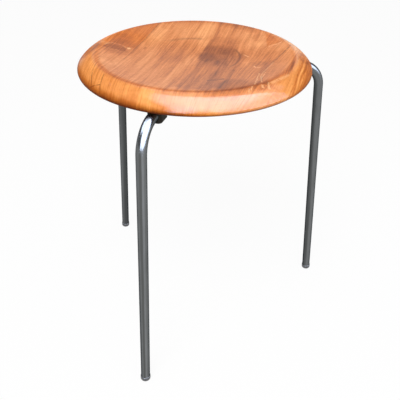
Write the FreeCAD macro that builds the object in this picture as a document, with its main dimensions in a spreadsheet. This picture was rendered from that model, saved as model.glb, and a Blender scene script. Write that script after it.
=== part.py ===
"""Stacking stool: a dished, veneered seat on three bent steel tubes.

The origin is on the floor under the middle of the seat, +Z is up and the
front leg points along -Y. Lengths are in millimetres, angles in degrees.
"""
import FreeCAD, Part
import Sketcher
import math
import os
import re

from FreeCAD import Vector

LEGS = ("front", "right", "left")
LEFT, RIGHT = 1, -1

# Driving sizes: name, value, meaning
SIZES = [
    ("seat_height", 451.5, "crest of the seat above the floor"),
    ("seat_radius", 165.0, "widest radius of the rolled rim"),
    ("roll_width", 25.3, "roll from the crest line out to the widest line"),
    ("dish_depth", 9.0, "middle of the dish below the crest"),
    ("crest_fall", 12.0, "slope of the roll where it leaves the crest"),
    ("shoulder_radius", 4.0, "section radius where the roll meets the widest line"),
    ("widest_drop", 17.6, "widest line of the rim below the crest"),
    ("edge_radius", 4.6, "rounding under the widest line"),
    ("rim_wall", 9.0, "thickness of the rim's lower edge"),
    ("cove_radius", 12.0, "hollow corner under the rim"),
    ("face_thickness", 0.8, "show veneer"),
    ("core_thickness", 7.4, "cross-laid core under the dish"),
    ("backing_thickness", 0.8, "backing veneer"),
    ("tube_diameter", 14.0, "outside of the leg tube"),
    ("tube_wall", 1.5, "wall of the leg tube"),
    ("rim_gap", 1.2, "rim's lower edge above the tubes"),
    ("tube_start", 14.0, "inner end of a tube from the axis"),
    ("bend_inset", 7.8, "start of a tube's bend inside the widest line"),
    ("bend_radius", 36.7, "bend radius of the tube's axis"),
    ("splay_angle", 5.0, "lean of a leg from upright"),
    ("front_azimuth", -90.0, "direction of the front leg"),
    ("foot_overhang", 0.7, "foot cap beyond the tube, radial"),
    ("foot_height", 8.0, "floor to tube end, along the leg"),
    ("foot_rounding", 3.0, "lower edge of the foot"),
    ("foot_shoulder", 0.9, "upper edge of the foot"),
    ("foot_stem", 20.0, "stem inside the tube"),
    ("stem_fit", 0.05, "foot stem in the tube, radial"),
    ("block_rim_gap", 2.0, "stacking block inside the rim's wall"),
    ("block_length", 25.5, "stacking block along the tube"),
    ("block_cheek", 2.5, "stacking block beside the tube"),
    ("block_corner", 5.0, "upright corners of a stacking block"),
    ("block_drop", 1.7, "stacking block below the tube"),
    ("block_slit", 3.0, "slit under the tube, through which it snaps into the block"),
    ("block_seat_gap", 0.3, "stacking block under the shell"),
    ("tube_grip", 0.05, "tube in the block's bore, radial"),
    ("plate_radius", 55.0, "hub plate"),
    ("plate_thickness", 3.0, "hub plate"),
    ("plate_edge", 0.6, "chamfer on the hub plate"),
    ("pad_inset", 5.0, "pad inside the plate's edge"),
    ("pad_seat_gap", 0.3, "pad under the shell"),
    ("hub_screw_inset", 12.0, "hub screws inside the pad's edge"),
    ("hub_screw_radius", 3.0, "shank of a hub screw"),
    ("hub_screw_clearance", 0.3, "hub screw in plate and pad, radial"),
    ("hub_head_overhang", 2.25, "head of a hub screw beyond its shank, radial"),
    ("hub_head_height", 3.3, "head of a hub screw"),
    ("hub_head_rounding", 1.4, "outer edge of a hub screw's head"),
    ("hub_drive_radius", 2.0, "key recess in a hub screw"),
    ("hub_drive_depth", 2.0, "key recess in a hub screw"),
    ("washer_overhang", 0.95, "washer beyond the screw's head, radial"),
    ("washer_thickness", 1.2, "washer"),
    ("washer_clearance", 0.2, "washer on its screw, radial"),
    ("insert_wall", 1.5, "threaded insert round the screw's shank"),
    ("insert_length", 6.5, "threaded insert"),
    ("insert_recess", 0.5, "insert above the shell's underside"),
    ("insert_fit", 0.05, "insert in the shell, radial"),
    ("thread_fit", 0.05, "hub screw in its insert, radial"),
    ("thread_left", 0.6, "screw tip below the insert's top"),
    ("block_screw_inset", 13.0, "block screw from the block's outer end"),
    ("block_screw_radius", 1.75, "shank of a block screw"),
    ("block_screw_length", 18.0, "block screw, head to tip"),
    ("block_head_overhang", 1.75, "head of a block screw beyond its shank, radial"),
    ("block_head_height", 2.2, "cone of a block screw's head"),
    ("block_head_sink", 1.0, "block screw's head above the tube"),
    ("block_head_clearance", 0.2, "head recess in a block, radial"),
    ("block_tip_length", 3.0, "point of a block screw"),
    ("block_screw_fit", 0.05, "block screw in its hole, radial"),
    ("hole_end_gap", 0.3, "blind hole beyond what it holds"),
    ("weld_tube_inset", 6.0, "weld bead from the tube's inner end"),
    ("weld_plate_inset", 4.0, "weld bead inside the plate's edge"),
    ("weld_inner", 3.0, "bead's inner edge from the tube's middle"),
    ("weld_leg", 3.6, "width of a bead along the plate"),
    ("weld_throat", 3.2, "depth of a bead down the tube"),
]

# Worked sizes: name, formula in the sizes above
WORKED = [
    ("widest_level", "seat_height - widest_drop"),
    ("rim_bottom", "widest_level - edge_radius"),
    ("shell_thickness", "face_thickness + core_thickness + backing_thickness"),
    ("crest_radius", "seat_radius - roll_width"),
    ("dish_radius", "(crest_radius ^ 2 + dish_depth ^ 2) / (2 * dish_depth)"),
    ("dish_centre", "seat_height - dish_depth + dish_radius"),
    ("dish_slope", "asin(crest_radius / dish_radius) / 1 deg"),
    ("crest_spread", "1 + cos(crest_fall + dish_slope)"),
    ("roll_radius",
     "((roll_width - shoulder_radius) ^ 2 + widest_drop ^ 2 - shoulder_radius ^ 2)"
     " / (2 * (widest_drop * cos(crest_fall) - (roll_width - shoulder_radius) * sin(crest_fall)"
     " - shoulder_radius))"),
    ("roll_x", "crest_radius - roll_radius * sin(crest_fall)"),
    ("roll_z", "seat_height - roll_radius * cos(crest_fall)"),
    ("roll_reach", "seat_radius - roll_x"),
    ("roll_rise", "widest_level - roll_z"),
    ("shoulder_run", "(roll_reach - shoulder_radius) / (roll_radius - shoulder_radius)"),
    ("shoulder_climb", "roll_rise / (roll_radius - shoulder_radius)"),
    ("hollow_radius", "seat_radius - rim_wall"),
    ("cove_x", "hollow_radius - cove_radius"),
    ("cove_reach", "dish_radius + shell_thickness + cove_radius"),
    ("cove_level", "dish_centre - sqrt(cove_reach ^ 2 - cove_x ^ 2)"),
    ("tube_radius", "tube_diameter / 2"),
    ("tube_level", "rim_bottom - rim_gap - tube_radius"),
    ("bend_start", "seat_radius - bend_inset"),
    ("bend_end_x", "bend_start + bend_radius * cos(splay_angle)"),
    ("bend_end_z", "tube_level - bend_radius + bend_radius * sin(splay_angle)"),
    ("foot_reach", "bend_end_x + bend_end_z * tan(splay_angle)"),
    ("leg_spacing", f"360 / {len(LEGS)}"),
    ("foot_radius", "tube_radius + foot_overhang"),
    ("plate_bottom", "tube_level + tube_radius"),
    ("plate_top", "plate_bottom + plate_thickness"),
    ("washer_bottom", "plate_bottom - washer_thickness"),
    ("pad_radius", "plate_radius - pad_inset"),
    ("hub_pitch", "pad_radius - hub_screw_inset"),
    ("hub_head_radius", "hub_screw_radius + hub_head_overhang"),
    ("washer_radius", "hub_head_radius + washer_overhang"),
    ("insert_radius", "hub_screw_radius + insert_wall"),
    ("weld_start", "tube_start + weld_tube_inset"),
    ("weld_end", "plate_radius - weld_plate_inset"),
    ("insert_bottom",
     "dish_centre - sqrt((dish_radius + shell_thickness) ^ 2 - hub_pitch ^ 2) + insert_recess"),
    ("insert_top", "insert_bottom + insert_length"),
    ("block_bottom", "tube_level - tube_radius - block_drop"),
    ("block_outer", "hollow_radius - block_rim_gap"),
    ("block_inner", "block_outer - block_length"),
    ("block_side", "tube_radius + block_cheek"),
    ("block_screw_place", "block_outer - block_screw_inset"),
    ("block_head_radius", "block_screw_radius + block_head_overhang"),
    ("block_head_level", "tube_level + tube_radius + block_head_sink"),
    ("block_tip_level", "block_head_level + block_screw_length"),
    ("bore_radius", "tube_radius + tube_grip"),
    ("slit_side", "block_slit / 2"),
    ("slit_level", "tube_level - sqrt(bore_radius ^ 2 - slit_side ^ 2)"),
]

doc = FreeCAD.newDocument("Stool")


# Sizes in the document

def write_sizes():
    """Put the driving sizes in a sheet and the worked sizes in a variable set."""
    sheet = doc.addObject("Spreadsheet::Sheet", "Sizes")
    for row, (name, number, meaning) in enumerate(SIZES, start=1):
        sheet.set(f"A{row}", name)
        sheet.set(f"B{row}", str(number))
        sheet.set(f"C{row}", meaning)
        sheet.setAlias(f"B{row}", name)
    doc.recompute()
    worked = doc.addObject("App::VarSet", "Worked")
    for name, formula in WORKED:
        worked.addProperty("App::PropertyFloat", name, "Worked", formula)
        worked.setExpression(name, bound(formula))
        doc.recompute()


OWNERS = {name: "Sizes" for name, number, meaning in SIZES}
OWNERS.update({name: "Worked" for name, formula in WORKED})


def bound(formula):
    """Return the formula with each size's name led by the object that holds it."""
    def owned(match):
        word = match.group(0)
        return f"{OWNERS[word]}.{word}" if word in OWNERS else word
    return re.sub(r"[A-Za-z_]\w*", owned, formula)


def value(formula):
    """Return the number that a formula gives with the sizes as they are."""
    return float(doc.getObject("Sizes").evalExpression(bound(formula)))


# Sketches whose corners and radii are formulas

class Outline:
    """One chain of lines and arcs in a sketch, every corner placed by formulas."""

    def __init__(self, sketch, x, z):
        self.sketch = sketch
        self.start = (x, z)
        self.here = (x, z)
        self.edges = []

    def line(self, x, z):
        """Draw a straight edge to a corner."""
        start, end = self.point(self.here), self.point((x, z))
        index = self.sketch.addGeometry(Part.LineSegment(start, end), False)
        self.edges.append((index, 1, 2, self.here))
        self.here = (x, z)
        return self

    def arc(self, x, z, radius, side):
        """Draw an arc to a corner, with its centre to the LEFT or RIGHT of the way."""
        start, end = self.point(self.here), self.point((x, z))
        size = value(radius)
        half = (end - start) * 0.5
        across = Vector(-half.y, half.x, 0).normalize() * side
        depth = math.sqrt(max(size ** 2 - half.Length ** 2, 0.0))
        centre = start + half + across * depth
        first, last = (start, end) if side == LEFT else (end, start)
        angles = [math.atan2(p.y - centre.y, p.x - centre.x) for p in (first, last)]
        circle = Part.Circle(centre, Vector(0, 0, 1), size)
        index = self.sketch.addGeometry(Part.ArcOfCircle(circle, *angles), False)
        self.edges.append((index, 1, 2, self.here) if side == LEFT else (index, 2, 1, self.here))
        tie_radius(self.sketch, index, radius)
        self.here = (x, z)
        return self

    def close(self):
        """Draw the last edge back to the first corner and fix every corner."""
        if self.here != self.start:
            self.line(*self.start)
        self.join(self.edges[-1], self.edges[0])
        return self.fix()

    def finish(self):
        """Leave the chain open and fix every corner, the last one too."""
        self.fix()
        tie_point(self.sketch, self.edges[-1][0], self.edges[-1][2], self.here)
        return self

    def fix(self):
        for before, after in zip(self.edges, self.edges[1:]):
            self.join(before, after)
        for index, first, last, corner in self.edges:
            tie_point(self.sketch, index, first, corner)
        return self

    def join(self, before, after):
        """Make one edge's end the next edge's start."""
        ends = (before[0], before[2], after[0], after[1])
        self.sketch.addConstraint(Sketcher.Constraint("Coincident", *ends))

    @staticmethod
    def point(corner):
        return Vector(value(corner[0]), value(corner[1]), 0)


def tie_point(sketch, index, end, corner):
    """Hold an edge's end at the corner's two formulas."""
    for kind, formula, axis in (("DistanceX", corner[0], -2), ("DistanceY", corner[1], -1)):
        if formula == "0":
            sketch.addConstraint(Sketcher.Constraint("PointOnObject", index, end, axis))
            continue
        rule = Sketcher.Constraint(kind, -1, 1, index, end, value(formula))
        number = sketch.addConstraint(rule)
        sketch.setExpression(f"Constraints[{number}]", bound(formula))


def tie_radius(sketch, index, radius):
    """Hold an arc or circle at a radius formula."""
    number = sketch.addConstraint(Sketcher.Constraint("Radius", index, value(radius)))
    sketch.setExpression(f"Constraints[{number}]", bound(radius))


def add_circle(sketch, x, z, radius):
    """Draw a circle with its centre and radius at formulas."""
    centre = Vector(value(x), value(z), 0)
    circle = Part.Circle(centre, Vector(0, 0, 1), value(radius))
    index = sketch.addGeometry(circle, False)
    tie_radius(sketch, index, radius)
    tie_point(sketch, index, 3, (x, z))


def add_axis(sketch, start, end):
    """Draw a construction line to turn a profile about."""
    points = [Outline.point(corner) for corner in (start, end)]
    index = sketch.addGeometry(Part.LineSegment(*points), True)
    tie_point(sketch, index, 1, start)
    tie_point(sketch, index, 2, end)


# Bodies and features

def new_body(label, turn="0"):
    """Start a body turned about the stool's axis by a number of leg spacings."""
    body = doc.addObject("PartDesign::Body", label)
    body.Label = label
    body.setExpression("Placement.Rotation.Angle", bound(f"front_azimuth + {turn} * leg_spacing"))
    return body


def new_sketch(body, role, name, lift=None):
    """Attach a sketch to one of the body's own planes, lifted by a formula."""
    sketch = body.newObject("Sketcher::SketchObject", name)
    plane = next(p for p in body.Origin.OriginFeatures if p.Role == role)
    sketch.AttachmentSupport = (plane, [""])
    sketch.MapMode = "FlatFace"
    if lift:
        sketch.setExpression("AttachmentOffset.Base.z", bound(lift))
    return sketch


def add_feature(body, kind, name, sketch, **settings):
    """Add a feature that uses a sketch, and check that it changes the solid."""
    before = body.Shape.Volume if body.Tip and not body.Shape.isNull() else 0.0
    feature = body.newObject("PartDesign::" + kind, name)
    feature.Profile = sketch
    for key, setting in settings.items():
        setattr(feature, key, setting)
    body.Tip = feature
    doc.recompute()
    gained = body.Shape.Volume - before
    if gained * (-1 if kind in ("Groove", "Pocket") else 1) <= 0:
        raise ValueError(f"{body.Label}: {name} changes the volume by {gained}")
    return feature


def turn_about_axis(body, sketch, kind="Revolution", name="Turned", axis="V_Axis"):
    """Turn a profile all the way round, to add or to cut."""
    return add_feature(body, kind, name, sketch, ReferenceAxis=(sketch, [axis]), Angle=360.0)


def repeat_round(body, feature, sketch, name):
    """Repeat a feature once for each leg about the stool's axis."""
    pattern = body.newObject("PartDesign::PolarPattern", name)
    pattern.Originals = [feature]
    pattern.Axis = (sketch, ["V_Axis"])
    pattern.Angle = 360.0
    pattern.Occurrences = len(LEGS)
    body.Tip = pattern
    doc.recompute()


def upright_profile(body, name, x, steps):
    """Sketch a stepped half profile beside an upright line at x, bottom first.

    Each step is a radius with its lower and upper level.
    """
    sketch = new_sketch(body, "XZ_Plane", name)
    add_axis(sketch, (x, steps[0][1]), (x, steps[-1][2]))
    outline = Outline(sketch, x, steps[0][1])
    for radius, low, high in steps:
        outline.line(f"{x} + {radius}", low)
        outline.line(f"{x} + {radius}", high)
    outline.line(x, steps[-1][2]).close()
    return sketch


def drill_round(body, name, x, steps):
    """Cut one stepped upright hole for each leg."""
    sketch = upright_profile(body, name + "Profile", x, steps)
    groove = turn_about_axis(body, sketch, "Groove", name, "Axis0")
    repeat_round(body, groove, sketch, name + "Round")


# The seat's surfaces, as stretches of an outline

def face_inward_depth(depth):
    """Return the corners of the show face, sunk by a depth: crest, shoulder, widest."""
    crest = (f"crest_radius - {depth} * (sin(crest_fall) - sin(dish_slope)) / crest_spread",
             f"seat_height - {depth} * (cos(crest_fall) + cos(dish_slope)) / crest_spread")
    shoulder = (f"roll_x + (roll_radius - {depth}) * shoulder_run",
                f"roll_z + (roll_radius - {depth}) * shoulder_climb")
    widest = (f"seat_radius - {depth}", "widest_level")
    return crest, shoulder, widest


def face_outward(outline, depth):
    """Follow the face from the axis over the roll to the foot of the rim."""
    crest, shoulder, widest = face_inward_depth(depth)
    outline.arc(*crest, f"dish_radius + {depth}", LEFT)
    outline.arc(*shoulder, f"roll_radius - {depth}", RIGHT)
    outline.arc(*widest, f"shoulder_radius - {depth}", RIGHT)
    outline.arc("seat_radius - edge_radius", f"rim_bottom + {depth}",
                f"edge_radius - {depth}", RIGHT)


def face_inward(outline, depth):
    """Follow the face from the foot of the rim back to the axis."""
    crest, shoulder, widest = face_inward_depth(depth)
    outline.arc(*widest, f"edge_radius - {depth}", LEFT)
    outline.arc(*shoulder, f"shoulder_radius - {depth}", LEFT)
    outline.arc(*crest, f"roll_radius - {depth}", LEFT)
    outline.arc("0", f"seat_height - dish_depth - {depth}", f"dish_radius + {depth}", RIGHT)


def hollow_corners(above):
    """Return the corners of the underside, raised by a thickness: axis, cove, wall."""
    reach = f"(dish_radius + shell_thickness - {above})"
    axis = ("0", f"dish_centre - {reach}")
    cove = (f"cove_x * {reach} / cove_reach",
            f"dish_centre - (dish_centre - cove_level) * {reach} / cove_reach")
    wall = (f"hollow_radius + {above}", "cove_level")
    return reach, axis, cove, wall


def hollow_inward(outline, above):
    """Follow the underside from the rim's wall back to the axis."""
    reach, axis, cove, wall = hollow_corners(above)
    outline.line(*wall)
    outline.arc(*cove, f"cove_radius + {above}", LEFT)
    outline.arc(*axis, reach, RIGHT)


def hollow_outward(outline, above):
    """Follow the underside from the axis to the lower end of the rim's wall."""
    reach, axis, cove, wall = hollow_corners(above)
    outline.arc(*cove, reach, LEFT)
    outline.arc(*wall, f"cove_radius + {above}", RIGHT)
    outline.line(f"hollow_radius + {above}", "rim_bottom")


# The seat

def build_face_veneer():
    """Show veneer over the dish, the roll and the rim's edge."""
    body = new_body("seat_face_veneer")
    sketch = new_sketch(body, "XZ_Plane", "FaceSection")
    outline = Outline(sketch, "0", "seat_height - dish_depth")
    face_outward(outline, "0")
    outline.line("seat_radius - edge_radius", "rim_bottom + face_thickness")
    face_inward(outline, "face_thickness")
    outline.close()
    turn_about_axis(body, sketch)
    return body


def build_core():
    """Cross-laid core with blind holes for the inserts and the block screws."""
    body = new_body("seat_core")
    sketch = new_sketch(body, "XZ_Plane", "CoreSection")
    outline = Outline(sketch, "0", "seat_height - dish_depth - face_thickness")
    face_outward(outline, "face_thickness")
    outline.line("seat_radius - edge_radius", "rim_bottom")
    outline.line("hollow_radius + backing_thickness", "rim_bottom")
    hollow_inward(outline, "backing_thickness")
    outline.close()
    turn_about_axis(body, sketch)
    drill_shell(body)
    return body


def build_backing_veneer():
    """Backing veneer over the hollow underside."""
    body = new_body("seat_backing_veneer")
    sketch = new_sketch(body, "XZ_Plane", "BackingSection")
    outline = Outline(sketch, "0", hollow_corners("0")[1][1])
    hollow_outward(outline, "0")
    outline.line("hollow_radius + backing_thickness", "rim_bottom")
    hollow_inward(outline, "backing_thickness")
    outline.close()
    turn_about_axis(body, sketch)
    drill_shell(body)
    return body


def drill_shell(body):
    """Cut the holes for inserts and block screws up from the underside."""
    drill_round(body, "InsertHole", "-hub_pitch",
                [("insert_radius + insert_fit", "plate_top", "insert_top + hole_end_gap")])
    drill_round(body, "BlockScrewHole", "block_screw_place",
                [("block_screw_radius + block_screw_fit", "plate_top",
                  "block_tip_level + hole_end_gap")])


# Legs and feet

def along_leg(along, across):
    """Return a point beside the leg's lower end, in the leg's own leaning directions."""
    return (f"foot_reach - ({along}) * sin(splay_angle) + ({across}) * cos(splay_angle)",
            f"({along}) * cos(splay_angle) + ({across}) * sin(splay_angle)")


def build_leg(name, turn):
    """Bent steel tube, open at both ends."""
    body = new_body("leg_" + name, turn)
    path = new_sketch(body, "XZ_Plane", "LegPath")
    route = Outline(path, "tube_start", "tube_level")
    route.line("bend_start", "tube_level")
    route.arc("bend_end_x", "bend_end_z", "bend_radius", RIGHT)
    route.line(*along_leg("foot_height", "0")).finish()
    ring = new_sketch(body, "YZ_Plane", "TubeSection", "tube_start")
    add_circle(ring, "0", "tube_level", "tube_radius")
    add_circle(ring, "0", "tube_level", "tube_radius - tube_wall")
    add_feature(body, "AdditivePipe", "Tube", ring, Spine=path)
    return body


def build_foot(name, turn):
    """Rounded foot with a stem up the tube, cut flat on the floor."""
    body = new_body("foot_" + name, turn)
    sketch = new_sketch(body, "XZ_Plane", "FootSection")
    low = "-foot_radius * sin(splay_angle) / 2"
    stem = "tube_radius - tube_wall - stem_fit"
    top = "foot_height + foot_stem"
    add_axis(sketch, along_leg(low, "0"), along_leg(top, "0"))
    outline = Outline(sketch, *along_leg(low, "0"))
    outline.line(*along_leg(low, "foot_radius - foot_rounding"))
    outline.arc(*along_leg(f"{low} + foot_rounding", "foot_radius"), "foot_rounding", LEFT)
    outline.line(*along_leg("foot_height - foot_shoulder", "foot_radius"))
    outline.arc(*along_leg("foot_height", "foot_radius - foot_shoulder"), "foot_shoulder", LEFT)
    outline.line(*along_leg("foot_height", stem))
    outline.line(*along_leg(top, stem))
    outline.line(*along_leg(top, "0")).close()
    turn_about_axis(body, sketch, axis="Axis0")
    floor = new_sketch(body, "XZ_Plane", "FloorCut")
    below = Outline(floor, "foot_reach - 2 * foot_radius", "0")
    below.line("foot_reach + 2 * foot_radius", "0")
    below.line("foot_reach + 2 * foot_radius", "-foot_radius")
    below.line("foot_reach - 2 * foot_radius", "-foot_radius").close()
    add_feature(body, "Pocket", "Sole", floor, Type="ThroughAll", SideType="Symmetric")
    return body


# Stacking blocks

def build_block(name, turn):
    """Rubber block that wraps the tube and reaches up under the shell."""
    body = new_body("stacking_block_" + name, turn)
    plan = new_sketch(body, "XY_Plane", "BlockPlan", "block_bottom")
    side, inset = "block_side", "(block_side - block_corner)"
    near, far = "block_inner", "block_outer"
    outline = Outline(plan, f"{near} + block_corner", f"-{side}")
    outline.line(f"{far} - block_corner", f"-{side}")
    outline.arc(far, f"-{inset}", "block_corner", LEFT)
    outline.line(far, inset)
    outline.arc(f"{far} - block_corner", side, "block_corner", LEFT)
    outline.line(f"{near} + block_corner", side)
    outline.arc(near, inset, "block_corner", LEFT)
    outline.line(near, f"-{inset}")
    outline.arc(f"{near} + block_corner", f"-{side}", "block_corner", LEFT)
    outline.close()
    block = add_feature(body, "Pad", "Block", plan)
    block.setExpression("Length", bound("seat_height - block_bottom"))
    doc.recompute()
    shape_under_shell(body)
    cut_tube_bore(body)
    sketch = upright_profile(body, "ScrewHole", "block_screw_place", [
        ("block_head_radius + block_head_clearance", "tube_level",
         "block_head_level + block_head_height"),
        ("block_screw_radius + block_screw_fit", "block_head_level + block_head_height",
         "seat_height")])
    turn_about_axis(body, sketch, "Groove", "Screw", "Axis0")
    return body


def shape_under_shell(body):
    """Cut a piece off just below the shell's underside."""
    sketch = new_sketch(body, "XZ_Plane", "ShellCut")
    gap = "(-block_seat_gap)"
    outline = Outline(sketch, *hollow_corners(gap)[1])
    hollow_outward(outline, gap)
    outline.line("hollow_radius - block_seat_gap", "rim_bottom - block_seat_gap")
    outline.line("seat_radius", "rim_bottom - block_seat_gap")
    outline.line("seat_radius", "seat_height + edge_radius")
    outline.line("0", "seat_height + edge_radius").close()
    turn_about_axis(body, sketch, "Groove", "UnderShell")


def cut_tube_bore(body):
    """Cut the bore that holds the tube, with a slit below it."""
    sketch = new_sketch(body, "YZ_Plane", "TubeBore")
    below = "block_bottom - block_drop"
    outline = Outline(sketch, "-slit_side", below)
    outline.line("slit_side", below)
    outline.line("slit_side", "slit_level")
    outline.arc("bore_radius", "tube_level", "bore_radius", LEFT)
    outline.arc("0", "tube_level + bore_radius", "bore_radius", LEFT)
    outline.arc("-bore_radius", "tube_level", "bore_radius", LEFT)
    outline.arc("-slit_side", "slit_level", "bore_radius", LEFT)
    outline.close()
    add_feature(body, "Pocket", "Bore", sketch, Type="ThroughAll", SideType="Symmetric")


def build_block_screws():
    """Countersunk screws that hold the blocks to the shell."""
    body = new_body("block_screws")
    sketch = new_sketch(body, "XZ_Plane", "BlockScrewSection")
    x = "block_screw_place"
    neck = "block_head_level + block_head_height"
    add_axis(sketch, (x, "block_head_level"), (x, "block_tip_level"))
    outline = Outline(sketch, x, "block_head_level")
    outline.line(f"{x} + block_head_radius", "block_head_level")
    outline.line(f"{x} + block_screw_radius", neck)
    outline.line(f"{x} + block_screw_radius", "block_tip_level - block_tip_length")
    outline.line(x, "block_tip_level").close()
    screw = turn_about_axis(body, sketch, axis="Axis0")
    repeat_round(body, screw, sketch, "BlockScrewRound")
    return body


# The hub under the middle of the seat

def build_hub_plate():
    """Steel disc on the tubes' inner ends."""
    body = new_body("hub_plate")
    sketch = new_sketch(body, "XZ_Plane", "PlateSection")
    outline = Outline(sketch, "0", "plate_bottom")
    outline.line("plate_radius - plate_edge", "plate_bottom")
    outline.line("plate_radius", "plate_bottom + plate_edge")
    outline.line("plate_radius", "plate_top - plate_edge")
    outline.line("plate_radius - plate_edge", "plate_top")
    outline.line("0", "plate_top").close()
    turn_about_axis(body, sketch)
    drill_round(body, "PlateHole", "-hub_pitch",
                [("hub_screw_radius + hub_screw_clearance", "plate_bottom", "plate_top")])
    return body


def build_hub_pad():
    """Pad between the flat plate and the curved shell."""
    body = new_body("hub_pad")
    sketch = new_sketch(body, "XZ_Plane", "PadSection")
    reach = "(dish_radius + shell_thickness + pad_seat_gap)"
    edge_level = f"dish_centre - sqrt({reach} ^ 2 - pad_radius ^ 2)"
    outline = Outline(sketch, "0", "plate_top")
    outline.line("pad_radius", "plate_top")
    outline.line("pad_radius", edge_level)
    outline.arc("0", f"dish_centre - {reach}", reach, RIGHT)
    outline.close()
    turn_about_axis(body, sketch)
    drill_round(body, "PadHole", "-hub_pitch",
                [("hub_screw_radius + hub_screw_clearance", "plate_top", "insert_bottom")])
    return body


def build_hub_screws():
    """Screws from below, through washer, plate and pad into the inserts."""
    body = new_body("hub_screws")
    sketch = new_sketch(body, "XZ_Plane", "HubScrewSection")
    x = "-hub_pitch"
    bottom = "washer_bottom - hub_head_height"
    tip = "insert_top - thread_left"
    add_axis(sketch, (x, bottom), (x, tip))
    outline = Outline(sketch, x, f"{bottom} + hub_drive_depth")
    outline.line(f"{x} + hub_drive_radius", f"{bottom} + hub_drive_depth")
    outline.line(f"{x} + hub_drive_radius", bottom)
    outline.line(f"{x} + hub_head_radius - hub_head_rounding", bottom)
    outline.arc(f"{x} + hub_head_radius", f"{bottom} + hub_head_rounding",
                "hub_head_rounding", LEFT)
    outline.line(f"{x} + hub_head_radius", "washer_bottom")
    outline.line(f"{x} + hub_screw_radius", "washer_bottom")
    outline.line(f"{x} + hub_screw_radius", tip)
    outline.line(x, tip).close()
    screw = turn_about_axis(body, sketch, axis="Axis0")
    repeat_round(body, screw, sketch, "HubScrewRound")
    return body


def build_ring_set(label, inner, outer, low, high):
    """Make one plain ring round each hub screw."""
    body = new_body(label)
    sketch = new_sketch(body, "XZ_Plane", "RingSection")
    x = "-hub_pitch"
    add_axis(sketch, (x, low), (x, high))
    outline = Outline(sketch, f"{x} + {inner}", low)
    outline.line(f"{x} + {outer}", low)
    outline.line(f"{x} + {outer}", high)
    outline.line(f"{x} + {inner}", high).close()
    ring = turn_about_axis(body, sketch, axis="Axis0")
    repeat_round(body, ring, sketch, "RingRound")
    return body


def build_welds(name, turn):
    """Two weld beads in the corners between a tube and the hub plate."""
    body = new_body("leg_welds_" + name, turn)
    sketch = new_sketch(body, "YZ_Plane", "WeldSection", "weld_start")
    low_level = "plate_bottom - weld_throat"
    low_side = "sqrt(tube_radius ^ 2 - (tube_radius - weld_throat) ^ 2)"
    inner_level = "tube_level + sqrt(tube_radius ^ 2 - weld_inner ^ 2)"
    for sign, side in (("", LEFT), ("-", RIGHT)):
        outline = Outline(sketch, f"{sign}weld_inner", "plate_bottom")
        outline.line(f"{sign}weld_inner", inner_level)
        outline.arc(f"{sign}{low_side}", low_level, "tube_radius",
                    RIGHT if side == LEFT else LEFT)
        outline.line(f"{sign}({low_side} + weld_leg)", "plate_bottom").close()
    bead = add_feature(body, "Pad", "Beads", sketch)
    bead.setExpression("Length", bound("weld_end - weld_start"))
    doc.recompute()
    return body


# The whole stool

def build_stool():
    """Build every piece and return the bodies."""
    write_sizes()
    bodies = [build_face_veneer(), build_core(), build_backing_veneer()]
    for turn, name in enumerate(LEGS):
        for build in (build_leg, build_foot, build_block, build_welds):
            bodies.append(build(name, turn))
    bodies += [build_block_screws(), build_hub_plate(), build_hub_pad(), build_hub_screws()]
    bodies.append(build_ring_set("hub_washers", "hub_screw_radius + washer_clearance",
                                 "washer_radius", "washer_bottom", "plate_bottom"))
    bodies.append(build_ring_set("hub_inserts", "hub_screw_radius + thread_fit",
                                 "insert_radius", "insert_bottom", "insert_top"))
    return bodies


def check_document(bodies):
    """Stop if any object failed or any piece is not a valid solid."""
    for item in doc.Objects:
        if "Invalid" in item.State or "Error" in item.State:
            raise ValueError(f"{item.Label} failed: {item.State}")
    for body in bodies:
        if body.Shape.isNull() or not body.Shape.isValid() or not body.Shape.Solids:
            raise ValueError(f"{body.Label} has no valid solid")


def write_pieces(bodies):
    """Write each piece to its own file and print its size."""
    os.makedirs("parts", exist_ok=True)
    for body in bodies:
        body.Shape.exportStep(f"parts/{body.Label}.step")
        box = body.Shape.optimalBoundingBox(False, False)
        print(f"{body.Label}: {len(body.Shape.Solids)} solids, {body.Shape.Volume:.1f} mm3, "
              f"x {box.XMin:.2f} to {box.XMax:.2f}, y {box.YMin:.2f} to {box.YMax:.2f}, "
              f"z {box.ZMin:.2f} to {box.ZMax:.2f}")


pieces = build_stool()
doc.recompute()
check_document(pieces)
write_pieces(pieces)
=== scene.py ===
"""Looks for the three-legged stacking stool: a dished teak seat on bent chromed legs.

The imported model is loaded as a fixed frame. The teak face, the legs and the weld beads are made
again as finer surfaces in the same places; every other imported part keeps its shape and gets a
finish. Lengths in the classes are in millimetres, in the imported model's own frame: the origin
lies on the floor under the seat's centre, Z points up and the front leg stands along -Y.
"""

import logging
import math
from dataclasses import dataclass, field
from enum import Enum
from functools import reduce
from typing import Any, Callable, Optional, Sequence, Union

import bmesh
import bpy
import numpy as np
from mathutils import Matrix, Vector


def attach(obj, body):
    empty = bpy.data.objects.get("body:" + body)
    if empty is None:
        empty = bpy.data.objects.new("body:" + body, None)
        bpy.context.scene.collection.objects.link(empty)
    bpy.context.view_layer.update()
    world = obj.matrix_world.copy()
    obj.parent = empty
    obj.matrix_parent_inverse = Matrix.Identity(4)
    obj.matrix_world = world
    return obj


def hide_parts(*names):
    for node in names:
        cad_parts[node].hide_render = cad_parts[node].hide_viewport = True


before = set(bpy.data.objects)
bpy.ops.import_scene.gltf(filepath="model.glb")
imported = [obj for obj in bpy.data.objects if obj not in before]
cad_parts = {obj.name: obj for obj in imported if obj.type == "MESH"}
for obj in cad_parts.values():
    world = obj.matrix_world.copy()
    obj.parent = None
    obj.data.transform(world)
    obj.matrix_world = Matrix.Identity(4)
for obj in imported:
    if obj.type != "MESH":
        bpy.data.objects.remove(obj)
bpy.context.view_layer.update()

LOG = logging.getLogger("stacking_stool")
MM = 0.001
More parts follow.
